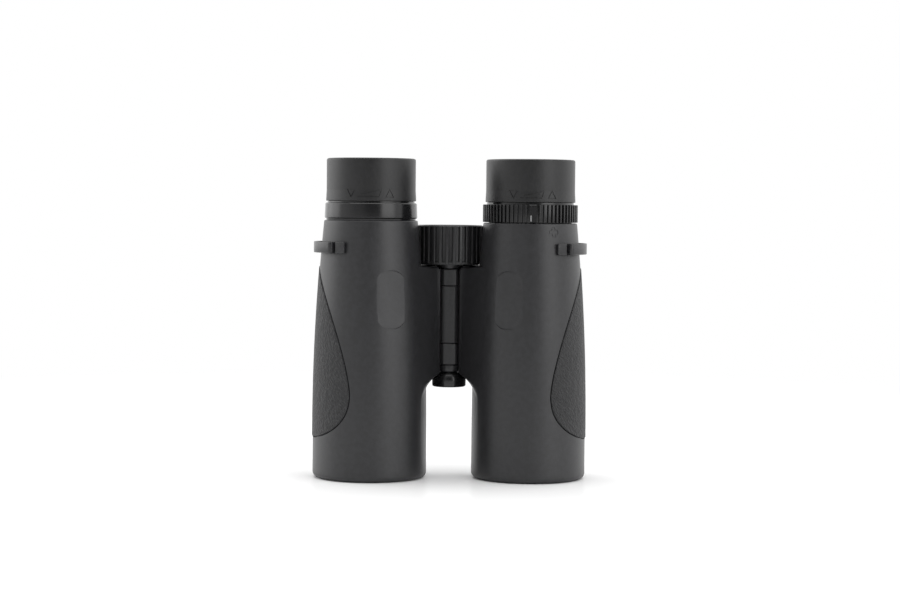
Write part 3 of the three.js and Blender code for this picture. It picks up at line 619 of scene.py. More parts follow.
def gripPanel(label):
    side, s = sides[label], gripSizes
    fades = [0.03, 0.15, 0.3, 0.45, 0.6, 0.75, 0.88, 0.96]
    edge = [(1, -s["rounding"] * (1 - math.sin(a)), s["proud"] - s["rounding"] * (1 - math.cos(a)))
            for a in np.radians(np.linspace(0, 90, 6))]
    rings = [(f, 0, -s["depth"]) for f in fades] + [(1, 0, -s["depth"])] + edge[::-1]
    rings += [(f, 0, s["proud"]) for f in fades[::-1]]
    panel = gripShape(label + "GripPanel", side, rings)
    surfaceMap(panel, side)
    return panel


def gripTool(side):
    s = gripSizes
    fades = [0.03, 0.3, 0.6, 0.85]
    deep = -s["depth"] - 0.5
    rings = [(f, 0, deep) for f in fades] + [(1, s["gap"], deep), (1, s["gap"], 3.0)]
    rings += [(f, 0, 3.0) for f in fades[::-1]]
    return gripShape("tool", side, rings)


thumbSizes = {"width": 13.5, "height": 26.9, "angle": {"left": 24.3, "right": 26.5}, "drop": 14.4,
              "depth": 0.92, "end": 5.0}


def thumbTool(label):
    side, s = sides[label], thumbSizes
    w, h, end = s["width"] / 2, s["height"] / 2, s["end"]
    turn = np.radians(np.linspace(0, 180, 25))
    upper = [(w * math.cos(a), h - end + end * math.sin(a)) for a in turn]
    outline = upper + [(-x, -z) for x, z in upper]
    middle = bridgeTop - s["drop"]
    slope = (armorRadiusAt(middle + 1) - armorRadiusAt(middle - 1)) / 2
    depth = armorRadiusAt(middle) - s["depth"]
    heading = math.radians(-90 + s["angle"][label])
    rows = []
    for out in (0, 6):
        row = []
        for x, z in outline:
            r = depth + out + slope * z
            px = r * math.cos(heading) - x * math.sin(heading)
            py = r * math.sin(heading) + x * math.cos(heading)
            row.append((-side * axisX + side * px, py, middle + z))
        rows.append(row)
    return skin("tool", rows)


def ribbon(line, width, wrap, low, high, closed=False, pitch=0.5):
    # a bar of rectangular section that follows a line drawn on a surface; wrap gives a point and its lift
    line = [np.array(p, float) for p in line]
    if closed:
        line.append(line[0])
    fine = []
    for a, b in zip(line, line[1:]):
        steps = max(1, int(np.linalg.norm(b - a) / pitch))
        fine += [a + (b - a) * k / steps for k in range(steps)]
    if not closed:
        fine.append(line[-1])
    rows = []
    for i, p in enumerate(fine):
        before = fine[i - 1] if closed or i else fine[i]
        after = fine[(i + 1) % len(fine)] if closed or i + 1 < len(fine) else fine[i]
        first, second = p - before, after - p
        first = first / (np.linalg.norm(first) or 1)
        second = second / (np.linalg.norm(second) or 1)
        along = first + second
        along = along / np.linalg.norm(along)
        across = np.array([-along[1], along[0]]) * width / 2
        lean = max(0.5, abs(along @ (second if np.linalg.norm(second) else first)))
        across = across / lean
        section = ((-1, low), (1, low), (1, high), (-1, high))
        rows.append([wrap(*(p + k * across), lift) for k, lift in section])
    return skin("tool", rows, closedRows=closed)


plusSizes = {"across": 4.4, "arm": 1.6, "drop": 4.0, "angle": -64.2, "line": 0.36, "depth": 0.22}


def plusMark(side):
    # a small outlined cross beside the diopter ring
    s = plusSizes
    a, b = s["arm"] / 2, s["across"] / 2
    steps = [(a, b), (a, a), (b, a), (b, -a), (a, -a), (a, -b), (-a, -b), (-a, -a), (-b, -a), (-b, a),
             (-a, a), (-a, b)]
    z = armorTop["right"] - s["drop"]
    r = armorRadiusAt(z)
    start = math.radians(s["angle"]) * r
    outline = rounded([(start + x, z + y) for x, y in steps], 0.5, 3)
    return ribbon(outline, s["line"], lambda u, v, lift: wrapped(side, u, v, lift), -s["depth"], 0.6, True)


def makeArmor(label):
    side, s = sides[label], armorSizes
    armor = armorBody(label)
    xs = sorted((side * (s["plateFrom"] - axisX), 0))
    plateRoom = block("tool", (xs[0], hingeY - s["plate"], s["plateBottom"]),
                      (xs[1], hingeY + s["plate"], bridgeTop - s["plateDrop"]))
    tools = [gripTool(side), thumbTool(label), plateRoom]
    if label == "right":
        tools.append(plusMark(side))
    carve(armor, tools, smoothAngle=28)
    return place(armor, label + "_half", "armor_rubber", armorRubber, label + "_armor")


print("armour")
for label in sides:
    makeArmor(label)
    place(gripPanel(label), label + "_half", "grip_rubber", gripRubber[label], label + "_grip_panel")


# strap lugs

lugSizes = {"drop": 15.0, "height": 5.1, "proud": 3.6, "thickness": 1.5, "bar": 47.3, "gapTo": 49.6,
            "foot": 61.5, "footThickness": 1.5, "base": 0.35, "post": 6.0, "gap": 0.1, "endChamfer": 1.0,
            "edge": 0.3}


def strapLug(label):
    # a bar that stands off the barrel, with a block beyond each of its ends
    side, s = sides[label], lugSizes
    bottom = armorTop["left"] - s["drop"]
    middle = armorRadiusAt(bottom + s["height"] / 2)
    inner = armorRadiusAt(bottom) + s["gap"]
    outer, barOuter = inner + s["footThickness"], middle + s["proud"]
    barInner, base = barOuter - s["thickness"], inner + s["base"]

    def at(r, angle):
        a = math.radians(angle)
        return (-side * axisX - side * r * math.cos(a), r * math.sin(a))

    def sweep(r, start, stop, steps):
        return [at(r, a) for a in np.linspace(start, stop, steps + 1)]

    bar, foot, post, gap = s["bar"], s["foot"], s["post"], s["gapTo"]
    step = math.degrees(s["endChamfer"] / barOuter)
    upper = sweep(barOuter, 0, bar - step, 22) + [at(barOuter - 0.75, bar), at(base, bar), at(base, gap)]
    upper += sweep(outer, gap, foot, 10)
    lower = sweep(inner, foot, bar - 1, 10) + sweep(barInner, bar - post, 0, 20)
    mirrored = [(x, -y) for x, y in (upper[1:] + lower[:-1])[::-1]]
    outline = upper + lower[:-1] + [at(barInner, 0)] + mirrored
    lug = skin(label + "StrapLug", [[(x, y, z) for x, y in outline] for z in (bottom, bottom + s["height"])])
    return place(softened(lug, s["edge"]), label + "_half", "black_plastic", lugPlastic, label + "_strap_lug")


print("lugs")
for label in sides:
    strapLug(label)


# body shells: bored tube, bridge plate and knuckles

shellSizes = {"wall": 1.5, "seatTop": 12.4, "step": 1.7, "prismSeat": 64.0, "knuckle": 6.1, "flat": 5.5,
              "tilt": 7.0, "gap": 0.15, "plate": 3.4, "plateEnd": 15.5, "plateDrop": 2.9, "room": 6.5,
              "chamfer": 0.22, "axleHole": 4.6}
slotSizes = {"half": 1.4, "bottom": 52.9, "top": 61.1}  # the slot the focusing arm passes through
plateBottom = boxOf("lower_collar")[1][2] + 0.3
knuckleTop = bridgeTop - armorSizes["recess"]
knuckleSplits = [plateBottom, plateBottom + 10, knuckleTop - 7.7, knuckleTop]


def shellRadiusAt(z):
    return armorRadiusAt(z) - armorSizes["thickness"] - 0.3


boreRadius = shellRadiusAt(shellSizes["seatTop"]) - shellSizes["wall"]
middleBore = boreRadius - shellSizes["step"]
upperBore = shellRadiusAt(armorTop["left"]) - shellSizes["wall"]
tubeFlange = upperBore - 0.4


def knuckle(z0, z1, tilt):
    # a round bar with a flat on its front, about the hinge axis
    radius, flat, chamfer = (shellSizes[k] for k in ("knuckle", "flat", "chamfer"))
    edge = math.degrees(math.acos(flat / radius))
    turn = np.radians(-90 + tilt + np.linspace(edge, 360 - edge, 72))
    levels = ((z0, chamfer), (z0 + chamfer, 0), (z1 - chamfer, 0), (z1, chamfer))
    return skin("tool", [[(*onCircle(hinge, radius - inset, a), z) for a in turn] for z, inset in levels])


def hingeRod(radius, z0, z1):
    return turned("tool", [(0, z0), (radius, z0), (radius, z1), (0, z1)], hinge, 0, 64)


def slotTool(x0, x1):
    s = slotSizes
    return block("tool", (x0, hingeY - s["half"], s["bottom"]), (x1, hingeY + s["half"], s["top"]))


def bodyShell(label):
    side, s, top = sides[label], shellSizes, armorTop[label] - 0.3
    low = boxOf("left_body_shell")[0][2]
    outline = [(shellRadiusAt(z), z) for z in np.linspace(low, top, 12)]
    outline += [(upperBore, top), (upperBore, s["prismSeat"]), (middleBore, s["prismSeat"])]
    outline += [(middleBore, s["seatTop"]), (boreRadius, s["seatTop"]), (boreRadius, low)]
    shell = turned(label + "BodyShell", outline, (-side * axisX, 0))
    xs = sorted((0, side * (s["plateEnd"] - axisX)))
    plate = block("tool", (xs[0], hingeY - s["plate"], plateBottom),
                  (xs[1], hingeY + s["plate"], bridgeTop - s["plateDrop"]))
    lower, lowerTop, upperBottom, upper = knuckleSplits
    gap = s["gap"]
    # the left half owns the lowest and highest knuckles, the right half the one between them
    owned, tilt = [(lower, lowerTop - gap), (upperBottom + gap, upper)], 0
    rooms = [(lowerTop - gap, upperBottom + gap)]
    if side < 0:
        owned, tilt = [(lowerTop + gap, upperBottom - gap)], -s["tilt"]
        rooms = [(lower - 1, lowerTop + gap), (upperBottom - gap, upper + 1)]
    carve(plate, [hingeRod(s["room"], *room) for room in rooms])
    carve(shell, [plate], "UNION")
    carve(shell, [knuckle(z0, z1, tilt) for z0, z1 in owned], "UNION")
    carve(shell, [hingeRod(s["axleHole"], 0, 150), slotTool(xs[0] - 1, xs[1] + 3)])
    return place(shell, label + "_half", "black_metal", hingeMetal, label + "_body_shell")


print("shells")
for label in sides:
    bodyShell(label)


# optics that show: objective ring and lens, eyepiece tube and eye lens

opticSizes = {"ringBottom": 4.2, "ringHeight": 3.4, "ringWall": 1.6, "edge": 4.0, "sag": 2.0, "rear": 1.0,
              "tubeRadius": 15.2, "tubeWall": 1.5, "tubeLip": 1.1, "lipHeight": 2.0, "lensEdge": 2.0,
              "lensSag": 2.0}


def lensOutline(radius, lowVertex, lowEdge, highEdge, highVertex, steps=12):
    t = np.linspace(0, 1, steps)
    lower = [(radius * k, lowVertex + (lowEdge - lowVertex) * k * k) for k in t]
    upper = [(radius * k, highVertex + (highEdge - highVertex) * k * k) for k in t]
    return lower + upper[::-1]


def barrelOptics(label):
    side, s = sides[label], opticSizes
    centre, body = (-side * axisX, 0), label + "_half"
    outer, low = boreRadius - 0.3, s["ringBottom"]
    high = low + s["ringHeight"]
    bore = outer - s["ringWall"]
    ring = [(bore + 0.7, low), (outer, low), (outer, high), (bore, high), (bore, low + 1.2)]
    ring = turned(label + "ObjectiveRing", ring, centre, [0.2, 0.2, 0.1, 0.1, 0.2])
    place(ring, body, "black_metal", bodyMetal, label + "_objective_ring")
    edge = high + 0.3
    glass = lensOutline(outer, edge - s["sag"], edge, edge + s["edge"], edge + s["edge"] + s["rear"])
    glass = turned(label + "ObjectiveLens", glass, centre)
    place(glass, body, "coated_glass", coatedGlass, label + "_objective_lens")
    bottom, top = (corner[2] for corner in boxOf(label + "_eyepiece_tube"))
    shoulder = ringHigh[2] + 0.5
    inner, r = s["tubeRadius"] - s["tubeWall"], s["tubeRadius"]
    seat = top - s["lipHeight"]
    tube = [(inner, bottom), (tubeFlange, bottom), (tubeFlange, shoulder), (r, shoulder), (r, top),
            (inner - s["tubeLip"] + 0.6, top), (inner - s["tubeLip"], seat), (inner, seat)]
    tube = turned(label + "EyepieceTube", tube, centre, [0.1, 0.1, 0.3, 0.1, 0.4, 0.2, 0.2, 0.1])
    place(tube, body, "black_metal", mattBlack, label + "_eyepiece_tube")
    rear = seat - 0.7
    glass = lensOutline(inner - 0.3, rear - s["lensEdge"], rear - s["lensEdge"], rear, rear + s["lensSag"])
    place(turned(label + "EyeLens", glass, centre), body, "coated_glass", coatedGlass, label + "_eye_lens")


print("optics")
for label in sides:
    barrelOptics(label)


# eyecups, with their twist marks, their lift rings and sleeves

cupSizes = {"height": 19.7, "wall": 2.35, "flare": 0.25, "rim": 1.0, "lipWidth": 4.05, "throat": 13.5,
            "lip": 4.2, "line": 0.36, "depth": 0.22}
cupRadius = ringRadius - 0.85
cupStep = cupRadius - 0.8
cupBottom = objectTop - cupSizes["height"]
lipUnderside = objectTop - cupSizes["lip"]
triangle = [(-1.95, -1.75), (1.95, -1.75), (0, 1.75)]
# twist marks: degrees round from the front towards +X, and heights above the cup's foot
cupMarks = [([(25.0, 3.5)], "up"), ([(-25.0, 3.6)], "down"), ([(-16.5, 2.1), (11.0, 1.95)], "line"),
            ([(-11.5, 3.1), (14.0, 5.2)], "line"), ([(11.2, 2.3), (13.4, 4.6)], "line")]


def eyecup(label):
    side, s = sides[label], cupSizes
    centre = (-side * axisX, 0)
    inner, foot, top = cupRadius - s["wall"], cupRadius + s["flare"], objectTop
    mouth = cupRadius - s["lipWidth"]
    outline = [(inner, cupBottom + 0.45), (cupStep, cupBottom + 0.45), (cupStep, cupBottom),
               (foot, cupBottom), (foot - 0.05, cupBottom + 1.2), (cupRadius, cupBottom + 5),
               (cupRadius, top), (mouth, top), (s["throat"] + 1.2, top - 2.0), (s["throat"], lipUnderside),
               (inner, lipUnderside)]
    radii = [0.05, 0.05, 0.1, 0.35, 1.0, 2.0, s["rim"], 1.4, 1.0, 0.3, 0.2]
    cup = turned(label + "Eyecup", outline, centre, radii, 144, 6)
    perDegree = math.pi * cupRadius / 180

    def onCup(u, v, lift):
        a = math.radians(u / perDegree - 90)
        return (*onCircle(centre, cupRadius + lift, a), cupBottom + v)

    for points, kind in cupMarks:
        if kind != "line":
            (u, v), flip = points[0], -1 if kind == "down" else 1
            points = [(u + x / perDegree, v + flip * y) for x, y in triangle]
        flat = [(u * perDegree, v) for u, v in points]
        carve(cup, [ribbon(flat, s["line"], onCup, -s["depth"], 0.8, kind != "line")], smoothAngle=30)
    place(cup, label + "_eyecup", "eyecup_rubber", cupRubber, label + "_eyecup")


print("eyecups")
for label in sides:
    eyecup(label)


def liftParts(label):
    side, s = sides[label], opticSizes
    centre = (-side * axisX, 0)
    low, high = boxOf(label + "_lift_ring")
    inner = s["tubeRadius"] + 0.3
    ring = [(inner, low[2]), (inner + 1.2, low[2]), (inner + 1.2, high[2]), (inner, high[2])]
    ring = turned(label + "LiftRing", ring, centre, 0.2)
    place(ring, label + "_eyecup_lift", "black_plastic", satinPlastic, label + "_lift_ring")
    low2, high2 = boxOf(label + "_eyecup_sleeve")
    a, b, seat = inner + 1.5, inner + 2.5, high[2] + 0.3
    sleeve = [(a, low2[2]), (b, low2[2]), (b, high2[2]), (a, high2[2]), (a, seat + 1.5),
              (inner + 0.1, seat + 1.5), (inner + 0.1, seat), (a, seat)]
    sleeve = turned(label + "EyecupSleeve", sleeve, centre, [0.25, 0.25, 0.1, 0.1, 0.1, 0.1, 0.1, 0.1])
    place(sleeve, label + "_eyecup", "black_plastic", satinPlastic, label + "_eyecup_sleeve")


for label in sides:
    liftParts(label)


# ocular ring and diopter ring

print("rings")
ocularSizes = {"chamfer": 0.5, "taper": 0.25, "collar": 0.45, "skirt": 0.75}


def ocularRing():
    z0, z1, s = ringLow[2], ringHigh[2], ocularSizes
    c, inner, collar = s["chamfer"], tubeFlange + 0.3, cupRadius - s["collar"]
    skirt = ringRadius - s["skirt"]
    seat, spigot = armorTop["left"], neckRadius - armorSizes["thickness"] - 0.2
    outline = [(inner, seat - 0.22), (spigot, seat - 0.22), (spigot, seat + 0.08), (skirt, seat + 0.08),
               (skirt, z0), (ringRadius - c, z0), (ringRadius, z0 + c), (ringRadius - s["taper"], z1 - c),
               (ringRadius - s["taper"] - c, z1), (collar, z1 + 0.05), (collar, cupBottom - 0.1),
               (cupStep - 0.2, cupBottom - 0.1), (cupStep - 0.2, cupBottom + 0.25), (inner, cupBottom + 0.25)]
    radii = [0, 0.05, 0.05, 0.05, 0.05, 0.15, 0.2, 0.2, 0.15, 0.05, 0.05, 0.05, 0.1, 0]
    ring = turned("ocularRing", outline, (-axisX, 0), radii, 144)
    place(ring, "left_half", "satin_ring", satinPlastic, "left_ocular_ring")


ocularRing()


def ribTree(name):
    # puts copies of one rib round an axis, on a core
    tree = bpy.data.node_groups.new(name, "GeometryNodeTree")
    wanted = [("Core", "NodeSocketGeometry", None), ("Rib", "NodeSocketObject", None),
              ("Count", "NodeSocketInt", 30), ("Finish", "NodeSocketMaterial", None)]
    for label, kind, value in wanted:
        made = tree.interface.new_socket(name=label, in_out="INPUT", socket_type=kind)
        if value is not None:
            made.default_value = value
    tree.interface.new_socket(name="Geometry", in_out="OUTPUT", socket_type="NodeSocketGeometry")
    graph = Graph(tree)
    given = {label: graph.node("NodeGroupInput", output=label) for label, kind, value in wanted}
    line = graph.node("GeometryNodeMeshLine", {"mode": "OFFSET"},
                      {"Count": given["Count"], "Offset": (0, 0, 0)})
    index = graph.node("GeometryNodeInputIndex")
    turn = index * (2 * math.pi) / given["Count"]
    rib = graph.node("GeometryNodeObjectInfo", {"transform_space": "ORIGINAL"},
                     {"Object": given["Rib"]}, "Geometry")
    spin = graph.node("ShaderNodeCombineXYZ", {}, {"Z": turn})
    copies = graph.node("GeometryNodeInstanceOnPoints", {},
                        {"Points": line, "Instance": rib, "Rotation": spin})
    real = graph.node("GeometryNodeRealizeInstances", {}, {"Geometry": copies})
    both = graph.node("GeometryNodeJoinGeometry", {}, {0: [given["Core"], real]})
    done = graph.node("GeometryNodeSetMaterial", {}, {"Geometry": both, "Material": given["Finish"]})
    graph.node("NodeGroupOutput", {}, [done])
    return tree


ribs = ribTree("ribsRoundAnAxis")


def ribbed(core, rib, count, material, centre):
    # core and rib are drawn about the origin, then the result is moved to its axis
    change = core.modifiers.new("ribs", "NODES")
    change.node_group = ribs
    sockets = {s.name: s.identifier for s in ribs.interface.items_tree if s.in_out == "INPUT"}
    change[sockets["Rib"]] = rib
    change[sockets["Count"]] = count
    change[sockets["Finish"]] = material
    applied(core)
    bpy.data.objects.remove(rib)
    core.data.transform(Matrix.Translation(Vector((centre[0], centre[1], 0)) * unit))
    return smoothed(core, 40)


def ribBar(radius, sink, rise, width, z0, z1, rounding, topWidth, steps=4):
    # one bar with a rounded back, lying along Z at +X
    half = width / 2
    outline = [(-sink, -half), (rise, -half * topWidth), (rise, half * topWidth), (-sink, half)]
    outline = rounded(outline, [0, min(rounding, rise), min(rounding, rise), 0], steps)
    turns = np.linspace(0, 90, steps + 1)
    rows = []
    for end, way, angles in ((z0, 1, turns), (z1, -1, turns[::-1])):
        for t in angles:
            ease = rounding * (1 - math.sin(math.radians(t)))
            z = end + way * rounding * (1 - math.cos(math.radians(t)))
            rows.append([(radius + x - ease * (x > 0), y, z) for x, y in outline])
    return skin("rib", rows)


diopterSizes = {"ribs": 64, "depth": 0.95, "share": 0.52, "index": 0.0, "indexWidth": 3.4, "collar": 0.45}
diopterLow, diopterHigh = boxOf("diopter_ring")
diopterRadius = (diopterHigh[0] - diopterLow[0]) / 2


def ringSector(name, centre, inner, outer, start, stop, z0, z1, edge):
    # part of a ring, with its outer edges broken; angles are from the front
    turn = np.radians(np.linspace(start, stop, 17) - 90)
    rows = []
    for z, inset in ((z0, edge), (z0 + edge, 0), (z1 - edge, 0), (z1, edge)):
        row = [(*onCircle(centre, outer - inset, a), z) for a in turn]
        rows.append(row + [(*onCircle(centre, inner, a), z) for a in turn[::-1]])
    return skin(name, rows)


def diopterRing():
    s = diopterSizes
    z0, z1 = diopterLow[2], diopterHigh[2]
    inner, core, r = tubeFlange + 0.4, diopterRadius - s["depth"], diopterRadius
    neck, spigot = cupRadius - s["collar"], neckRadius - armorSizes["thickness"] - 0.2
    foot = armorTop["right"] - 0.22
    outline = [(inner, foot), (spigot, foot), (spigot, z0), (core, z0), (core, z1), (neck, z1 + 0.05),
               (neck, cupBottom - 0.1), (cupStep - 0.2, cupBottom - 0.1),
               (cupStep - 0.2, cupBottom + 0.25), (inner, cupBottom + 0.25)]
    radii = [0, 0.05, 0.05, 0.15, 0.15, 0.1, 0.1, 0.05, 0.1, 0]
    body = turned("diopterRing", outline, (0, 0), radii, 144)
    width = 2 * math.pi * r / s["ribs"] * s["share"]
    rib = ribBar(core, 0.3, s["depth"], width, z0 + 0.05, z1, 0.32, 0.72)
    rib.data.transform(Matrix.Rotation(math.pi / s["ribs"], 4, "Z"))
    centre = (axisX, 0)
    ring = ribbed(body, rib, s["ribs"], satinPlastic, centre)
    half = math.degrees(s["indexWidth"] / 2 / r)
    start, stop = s["index"] - half, s["index"] + half
    index = ringSector("index", centre, core - 0.3, r + 0.08, start, stop, z0 + 0.05, z1, 0.22)
    notch = ringSector("tool", centre, r - 0.35, r + 1, start + 0.9, stop - 1.6, z1 - 1.1, z1 - 0.65, 0)
    carve(index, [notch])
    joined(ring, index)
    place(ring, "diopter_ring", "satin_ring", satinPlastic, "diopter_ring")
    tick = ringSector("diopterTick", centre, r - 0.1, r + 0.12, start + 1.2, start + 2.9,
                      z0 + 0.6, z0 + 3.3, 0.02)
    place(tick, "diopter_ring", "satin_ring", tickPaint)


diopterRing()


# hinge: axle, collars and tripod cap

print("hinge")
capLow, capHigh = boxOf("tripod_cap")
collarLow, collarHigh = boxOf("lower_collar")
topHigh = boxOf("upper_collar")[1]
axleLow = boxOf("hinge_axle")[0][2]
hingeSizes = {"axle": 4.3, "axleEnd": 4.0, "socket": 3.2, "collar": 5.6, "cap": 7.95, "capNeck": 5.1,
              "capSide": 3.2, "cone": 6.0, "coneFoot": 4.85, "wallInside": 5.85, "wallOutside": 6.35}


def hingePieces():
    s = hingeSizes
    step, top = capHigh[2] + 0.2, knuckleTop - 0.2
    axle = [(s["socket"], axleLow), (s["axleEnd"], axleLow), (s["axleEnd"], step), (s["axle"], step),
            (s["axle"], top), (s["socket"], top)]
    axle = turned("hingeAxle", axle, hinge, 0.15, 64)
    carve(axle, [slotTool(-2 * s["axle"], 0)])
    place(axle, "left_half", "hinge_metal", hingeMetal, "hinge_axle")
    z0, z1 = collarLow[2], collarHigh[2]
    collar = [(s["axle"] + 0.3, z0), (s["collar"], z0), (s["collar"], z1), (s["axle"] + 0.3, z1)]
    collar = turned("lowerCollar", collar, hinge, [0.1, 0.4, 0.4, 0.1])
    place(collar, "left_half", "hinge_metal", hingeMetal, "lower_collar")
    z0, z1 = knuckleTop + 0.08, topHigh[2]
    cone = [(1.8, z0), (s["coneFoot"], z0), (s["coneFoot"] + 0.15, z0 + 0.25), (s["cone"], z1 - 0.5),
            (s["cone"], z1), (1.8, z1)]
    cone = turned("upperCollar", cone, hinge, [0, 0.2, 0.2, 0.3, 0.15, 0])
    # a wall round its back shuts out the light from behind
    wall = ringSector("wall", hinge, s["wallInside"], s["wallOutside"], 96, 264, z0, z1, 0.05)
    place(joined(cone, wall), "left_half", "hinge_metal", hingeMetal, "upper_collar")
    z0, z1 = capLow[2], capHigh[2]
    cavity, r = s["axleEnd"] + 0.3, s["cap"]
    rise, reach, neck, side, foot = z1 - z0 - s["capSide"], r - s["capNeck"], s["capNeck"], s["capSide"], 0.8
    turn = np.radians(np.linspace(0, 90, 14))
    dome = [(neck + reach * math.cos(a), z0 + side + rise * math.sin(a)) for a in turn]
    turn = np.radians(np.linspace(0, 90, 6))
    edge = [(r - foot * (1 - math.sin(a)), z0 + foot * (1 - math.cos(a))) for a in turn]
    cap = [(0, z0 + 0.35), (4.2, z0 + 0.35), (4.6, z0)] + edge + dome
    cap += [(cavity, z1), (cavity, z0 + 1.5), (0, z0 + 1.5)]
    place(turned("tripodCap", cap, hinge), "tripod_cap", "hinge_metal", satinPlastic, "tripod_cap")


hingePieces()


# focus knob

print("knob")
knobLow, knobHigh = boxOf("focus_knob_grip")
knobSizes = {"ribs": 30, "depth": 1.15, "share": 0.5, "rim": 1.25, "drop": 0.55, "rubber": 3.0, "cap": 0.8,
             "flange": 0.15, "flangeOut": 0.3, "topRim": 0.7}
knobRadius = (knobHigh[1] - knobLow[1]) / 2


def focusKnob():
    s = knobSizes
    z0, z1 = knobLow[2] - s["drop"], knobHigh[2]
    inner, core = knobRadius - s["rubber"], knobRadius - s["depth"]
    r, lowRim, highRim = knobRadius, z0 + s["rim"], z1 - s["topRim"]
    outline = [(inner, z0), (r - 0.15, z0), (r - 0.15, lowRim), (core, lowRim + 0.2), (core, highRim),
               (r - 0.3, highRim), (r - 0.35, z1 - 0.5), (r - 0.9, z1), (inner, z1)]
    body = turned("focusKnobGrip", outline, (0, 0), [0, 0.5, 0.25, 0.2, 0.1, 0.1, 0.15, 0.2, 0], 120)
    width = 2 * math.pi * r / s["ribs"] * s["share"]
    rib = ribBar(core, 0.4, s["depth"], width, z0 + 0.4, z1 - 0.3, 0.35, 0.9, 5)
    grip = ribbed(body, rib, s["ribs"], knobRubber, hinge)
    place(grip, "focus_knob", "knob_rubber", knobRubber, "focus_knob_grip")
    edge = inner - 0.3
    coreTop = boxOf("focus_knob_core")[1][2]
    under, wide = z0 - s["flange"], edge + s["flangeOut"]
    hub = [(1.7, under), (wide, under), (wide, z0 - 0.05), (edge, z0 - 0.05), (edge, coreTop), (1.7, coreTop)]
    hub = turned("focusKnobCore", hub, hinge, [0, 0.2, 0.1, 0, 0.1, 0])
    place(hub, "focus_knob", "black_plastic", mattBlack, "focus_knob_core")
    top = z1 - 0.3
    cap = [(0, top - s["cap"]), (edge, top - s["cap"]), (edge, top), (edge - 1.6, top),
           (edge - 2.0, top - 0.25), (edge - 2.6, top - 0.25), (edge - 3.0, top), (0, top)]
    cap = turned("focusKnobCap", cap, hinge, [0, 0.1, 0.3, 0.15, 0.1, 0.1, 0.15, 0])
    place(cap, "focus_knob", "black_plastic", satinPlastic, "focus_knob_cap")


focusKnob()


# CAD pieces that stay get their finish

print("inner pieces")
innerFinish = {"focusing_cell": bodyMetal, "focusing_lens": coatedGlass, "focus_arm": steel,
               "prism_cage": mattBlack, "half_prism": prismGlass, "roof_prism": prismGlass,
               "field_cell": mattBlack, "field_lens": coatedGlass, "focus_screw": brass, "focus_nut": brass}
for name, obj in nodes.items():
    for ending, finish in innerFinish.items():
        if name.endswith(ending):
            obj.data.materials.clear()
            obj.data.materials.append(finish)


# floor, light and camera

print("stage")
stageSizes = {"floor": 4000.0, "lit": 260.0, "fade": 620.0, "distance": 950.0, "eye": 126.0, "look": 82.6,
              "azimuth": -1.0, "lens": 81.7, "roll": 0.5, "topPower": 7.6, "topSize": 1200.0,
              "topBack": 150.0, "topHeight": 1300.0}
# brightness of the studio all round, by heading in degrees from the camera's side, right positive
studio = [(-180, 1.1), (-136, 1.5), (-120, 2.5), (-92, 2.5), (-78, 1.0), (-26, 0.5), (-4, 0.17), (22, 0.2),
          (33, 2.7), (54, 2.7), (68, 1.1), (112, 1.6), (145, 1.2), (180, 1.1)]


def makeFloor():
    size = stageSizes["floor"]
    floor = makeObject("floor", [(-size, -size, 0), (size, -size, 0), (size, size, 0), (-size, size, 0)],
                       [[0, 1, 2, 3]])
    material, graph, where = newMaterial("paleFloor")
    far = graph.node("ShaderNodeVectorMath", {"operation": "LENGTH"}, [where], "Value")
    far = far.steps(stageSizes["lit"] * unit, stageSizes["fade"] * unit)
    cloud = graph.noise(where, 3.0, 2.0)
    color = graph.mix(cloud, gray(0.93, 0.93), gray(0.95, 0.95))
    paper = graph.node("ShaderNodeBsdfDiffuse", {}, {"Color": color})
    sheen = graph.node("ShaderNodeBsdfGlossy", {}, {"Color": (1, 1, 1, 1), "Roughness": 0.12})
    near = graph.node("ShaderNodeMixShader", {}, [0.08, paper, sheen])
    white = graph.node("ShaderNodeEmission", {}, {"Color": (1, 1, 1, 1), "Strength": 1.0})
    both = graph.node("ShaderNodeMixShader", {}, [far, near, white])
    graph.node("ShaderNodeOutputMaterial", {}, {"Surface": both})
    floor.data.materials.append(material)


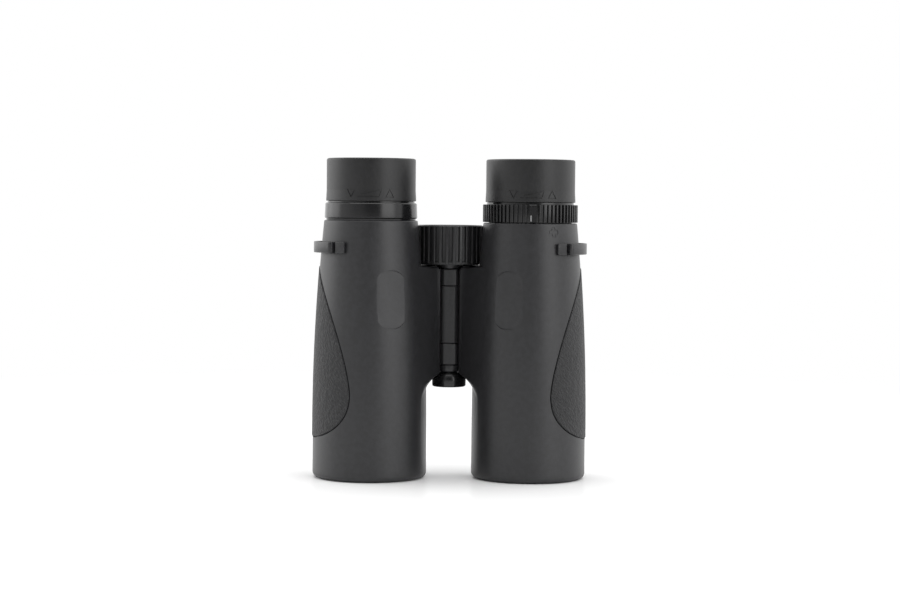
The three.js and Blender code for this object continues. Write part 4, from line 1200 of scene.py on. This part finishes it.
def makeLight():
    # a wide soft light overhead, a little to the back
    s = stageSizes
    light = bpy.data.lights.new("top", "AREA")
    light.shape, light.energy = "RECTANGLE", s["topPower"]
    light.size, light.size_y = s["topSize"] * unit, s["topSize"] * unit
    obj = bpy.data.objects.new("top", light)
    spot = Vector((0, s["topBack"], s["topHeight"]))
    obj.location, obj.rotation_euler = spot * unit, (-spot).to_track_quat("-Z", "Y").to_euler()
    bpy.context.scene.collection.objects.link(obj)


def makeWorld():
    # a soft studio: dim behind the camera, a tall soft box to its right, white all round the back
    world = bpy.data.worlds.new("studio")
    bpy.context.scene.world = world
    world.use_nodes = True
    world.node_tree.nodes.clear()
    graph = Graph(world.node_tree)
    way = graph.node("ShaderNodeTexCoord", output="Generated")
    x, y, z = (graph.node("ShaderNodeSeparateXYZ", {}, [way], axis) for axis in "XYZ")
    heading = x.math("ARCTAN2", y * -1.0) / (2 * math.pi) + 0.5
    stops = [((turn + 180) / 360, value) for turn, value in studio]
    around = graph.node("ShaderNodeValToRGB", {"stops": stops}, [heading])
    overhead = z.steps(0.45, 0.9)
    strength = graph.mix(overhead, around, gray(0.8, 0.8))
    soft = graph.node("ShaderNodeBackground", {}, {"Color": strength, "Strength": 1.0})
    white = graph.node("ShaderNodeBackground", {}, {"Color": (1, 1, 1, 1), "Strength": 1.0})
    seen = graph.node("ShaderNodeLightPath", output="Is Camera Ray")
    both = graph.node("ShaderNodeMixShader", {}, [seen, soft, white])
    graph.node("ShaderNodeOutputWorld", {}, {"Surface": both})


def makeCamera():
    s = stageSizes
    lens = bpy.data.cameras.new("camera")
    lens.lens, lens.sensor_width = s["lens"], 36.0
    lens.clip_start, lens.clip_end = 0.01, 30
    camera = bpy.data.objects.new("camera", lens)
    turn = math.radians(s["azimuth"])
    spot = Vector((s["distance"] * math.sin(turn), -s["distance"] * math.cos(turn), s["eye"]))
    target = Vector((0, 0, s["look"]))
    toward = (target - spot).to_track_quat("-Z", "Y").to_matrix()
    toward = toward @ Matrix.Rotation(math.radians(s["roll"]), 3, "Z")
    camera.location, camera.rotation_euler = spot * unit, toward.to_euler()
    bpy.context.scene.collection.objects.link(camera)
    bpy.context.scene.camera = camera


makeFloor()
makeWorld()
makeLight()
makeCamera()
bpy.context.scene.view_settings.view_transform = "Standard"
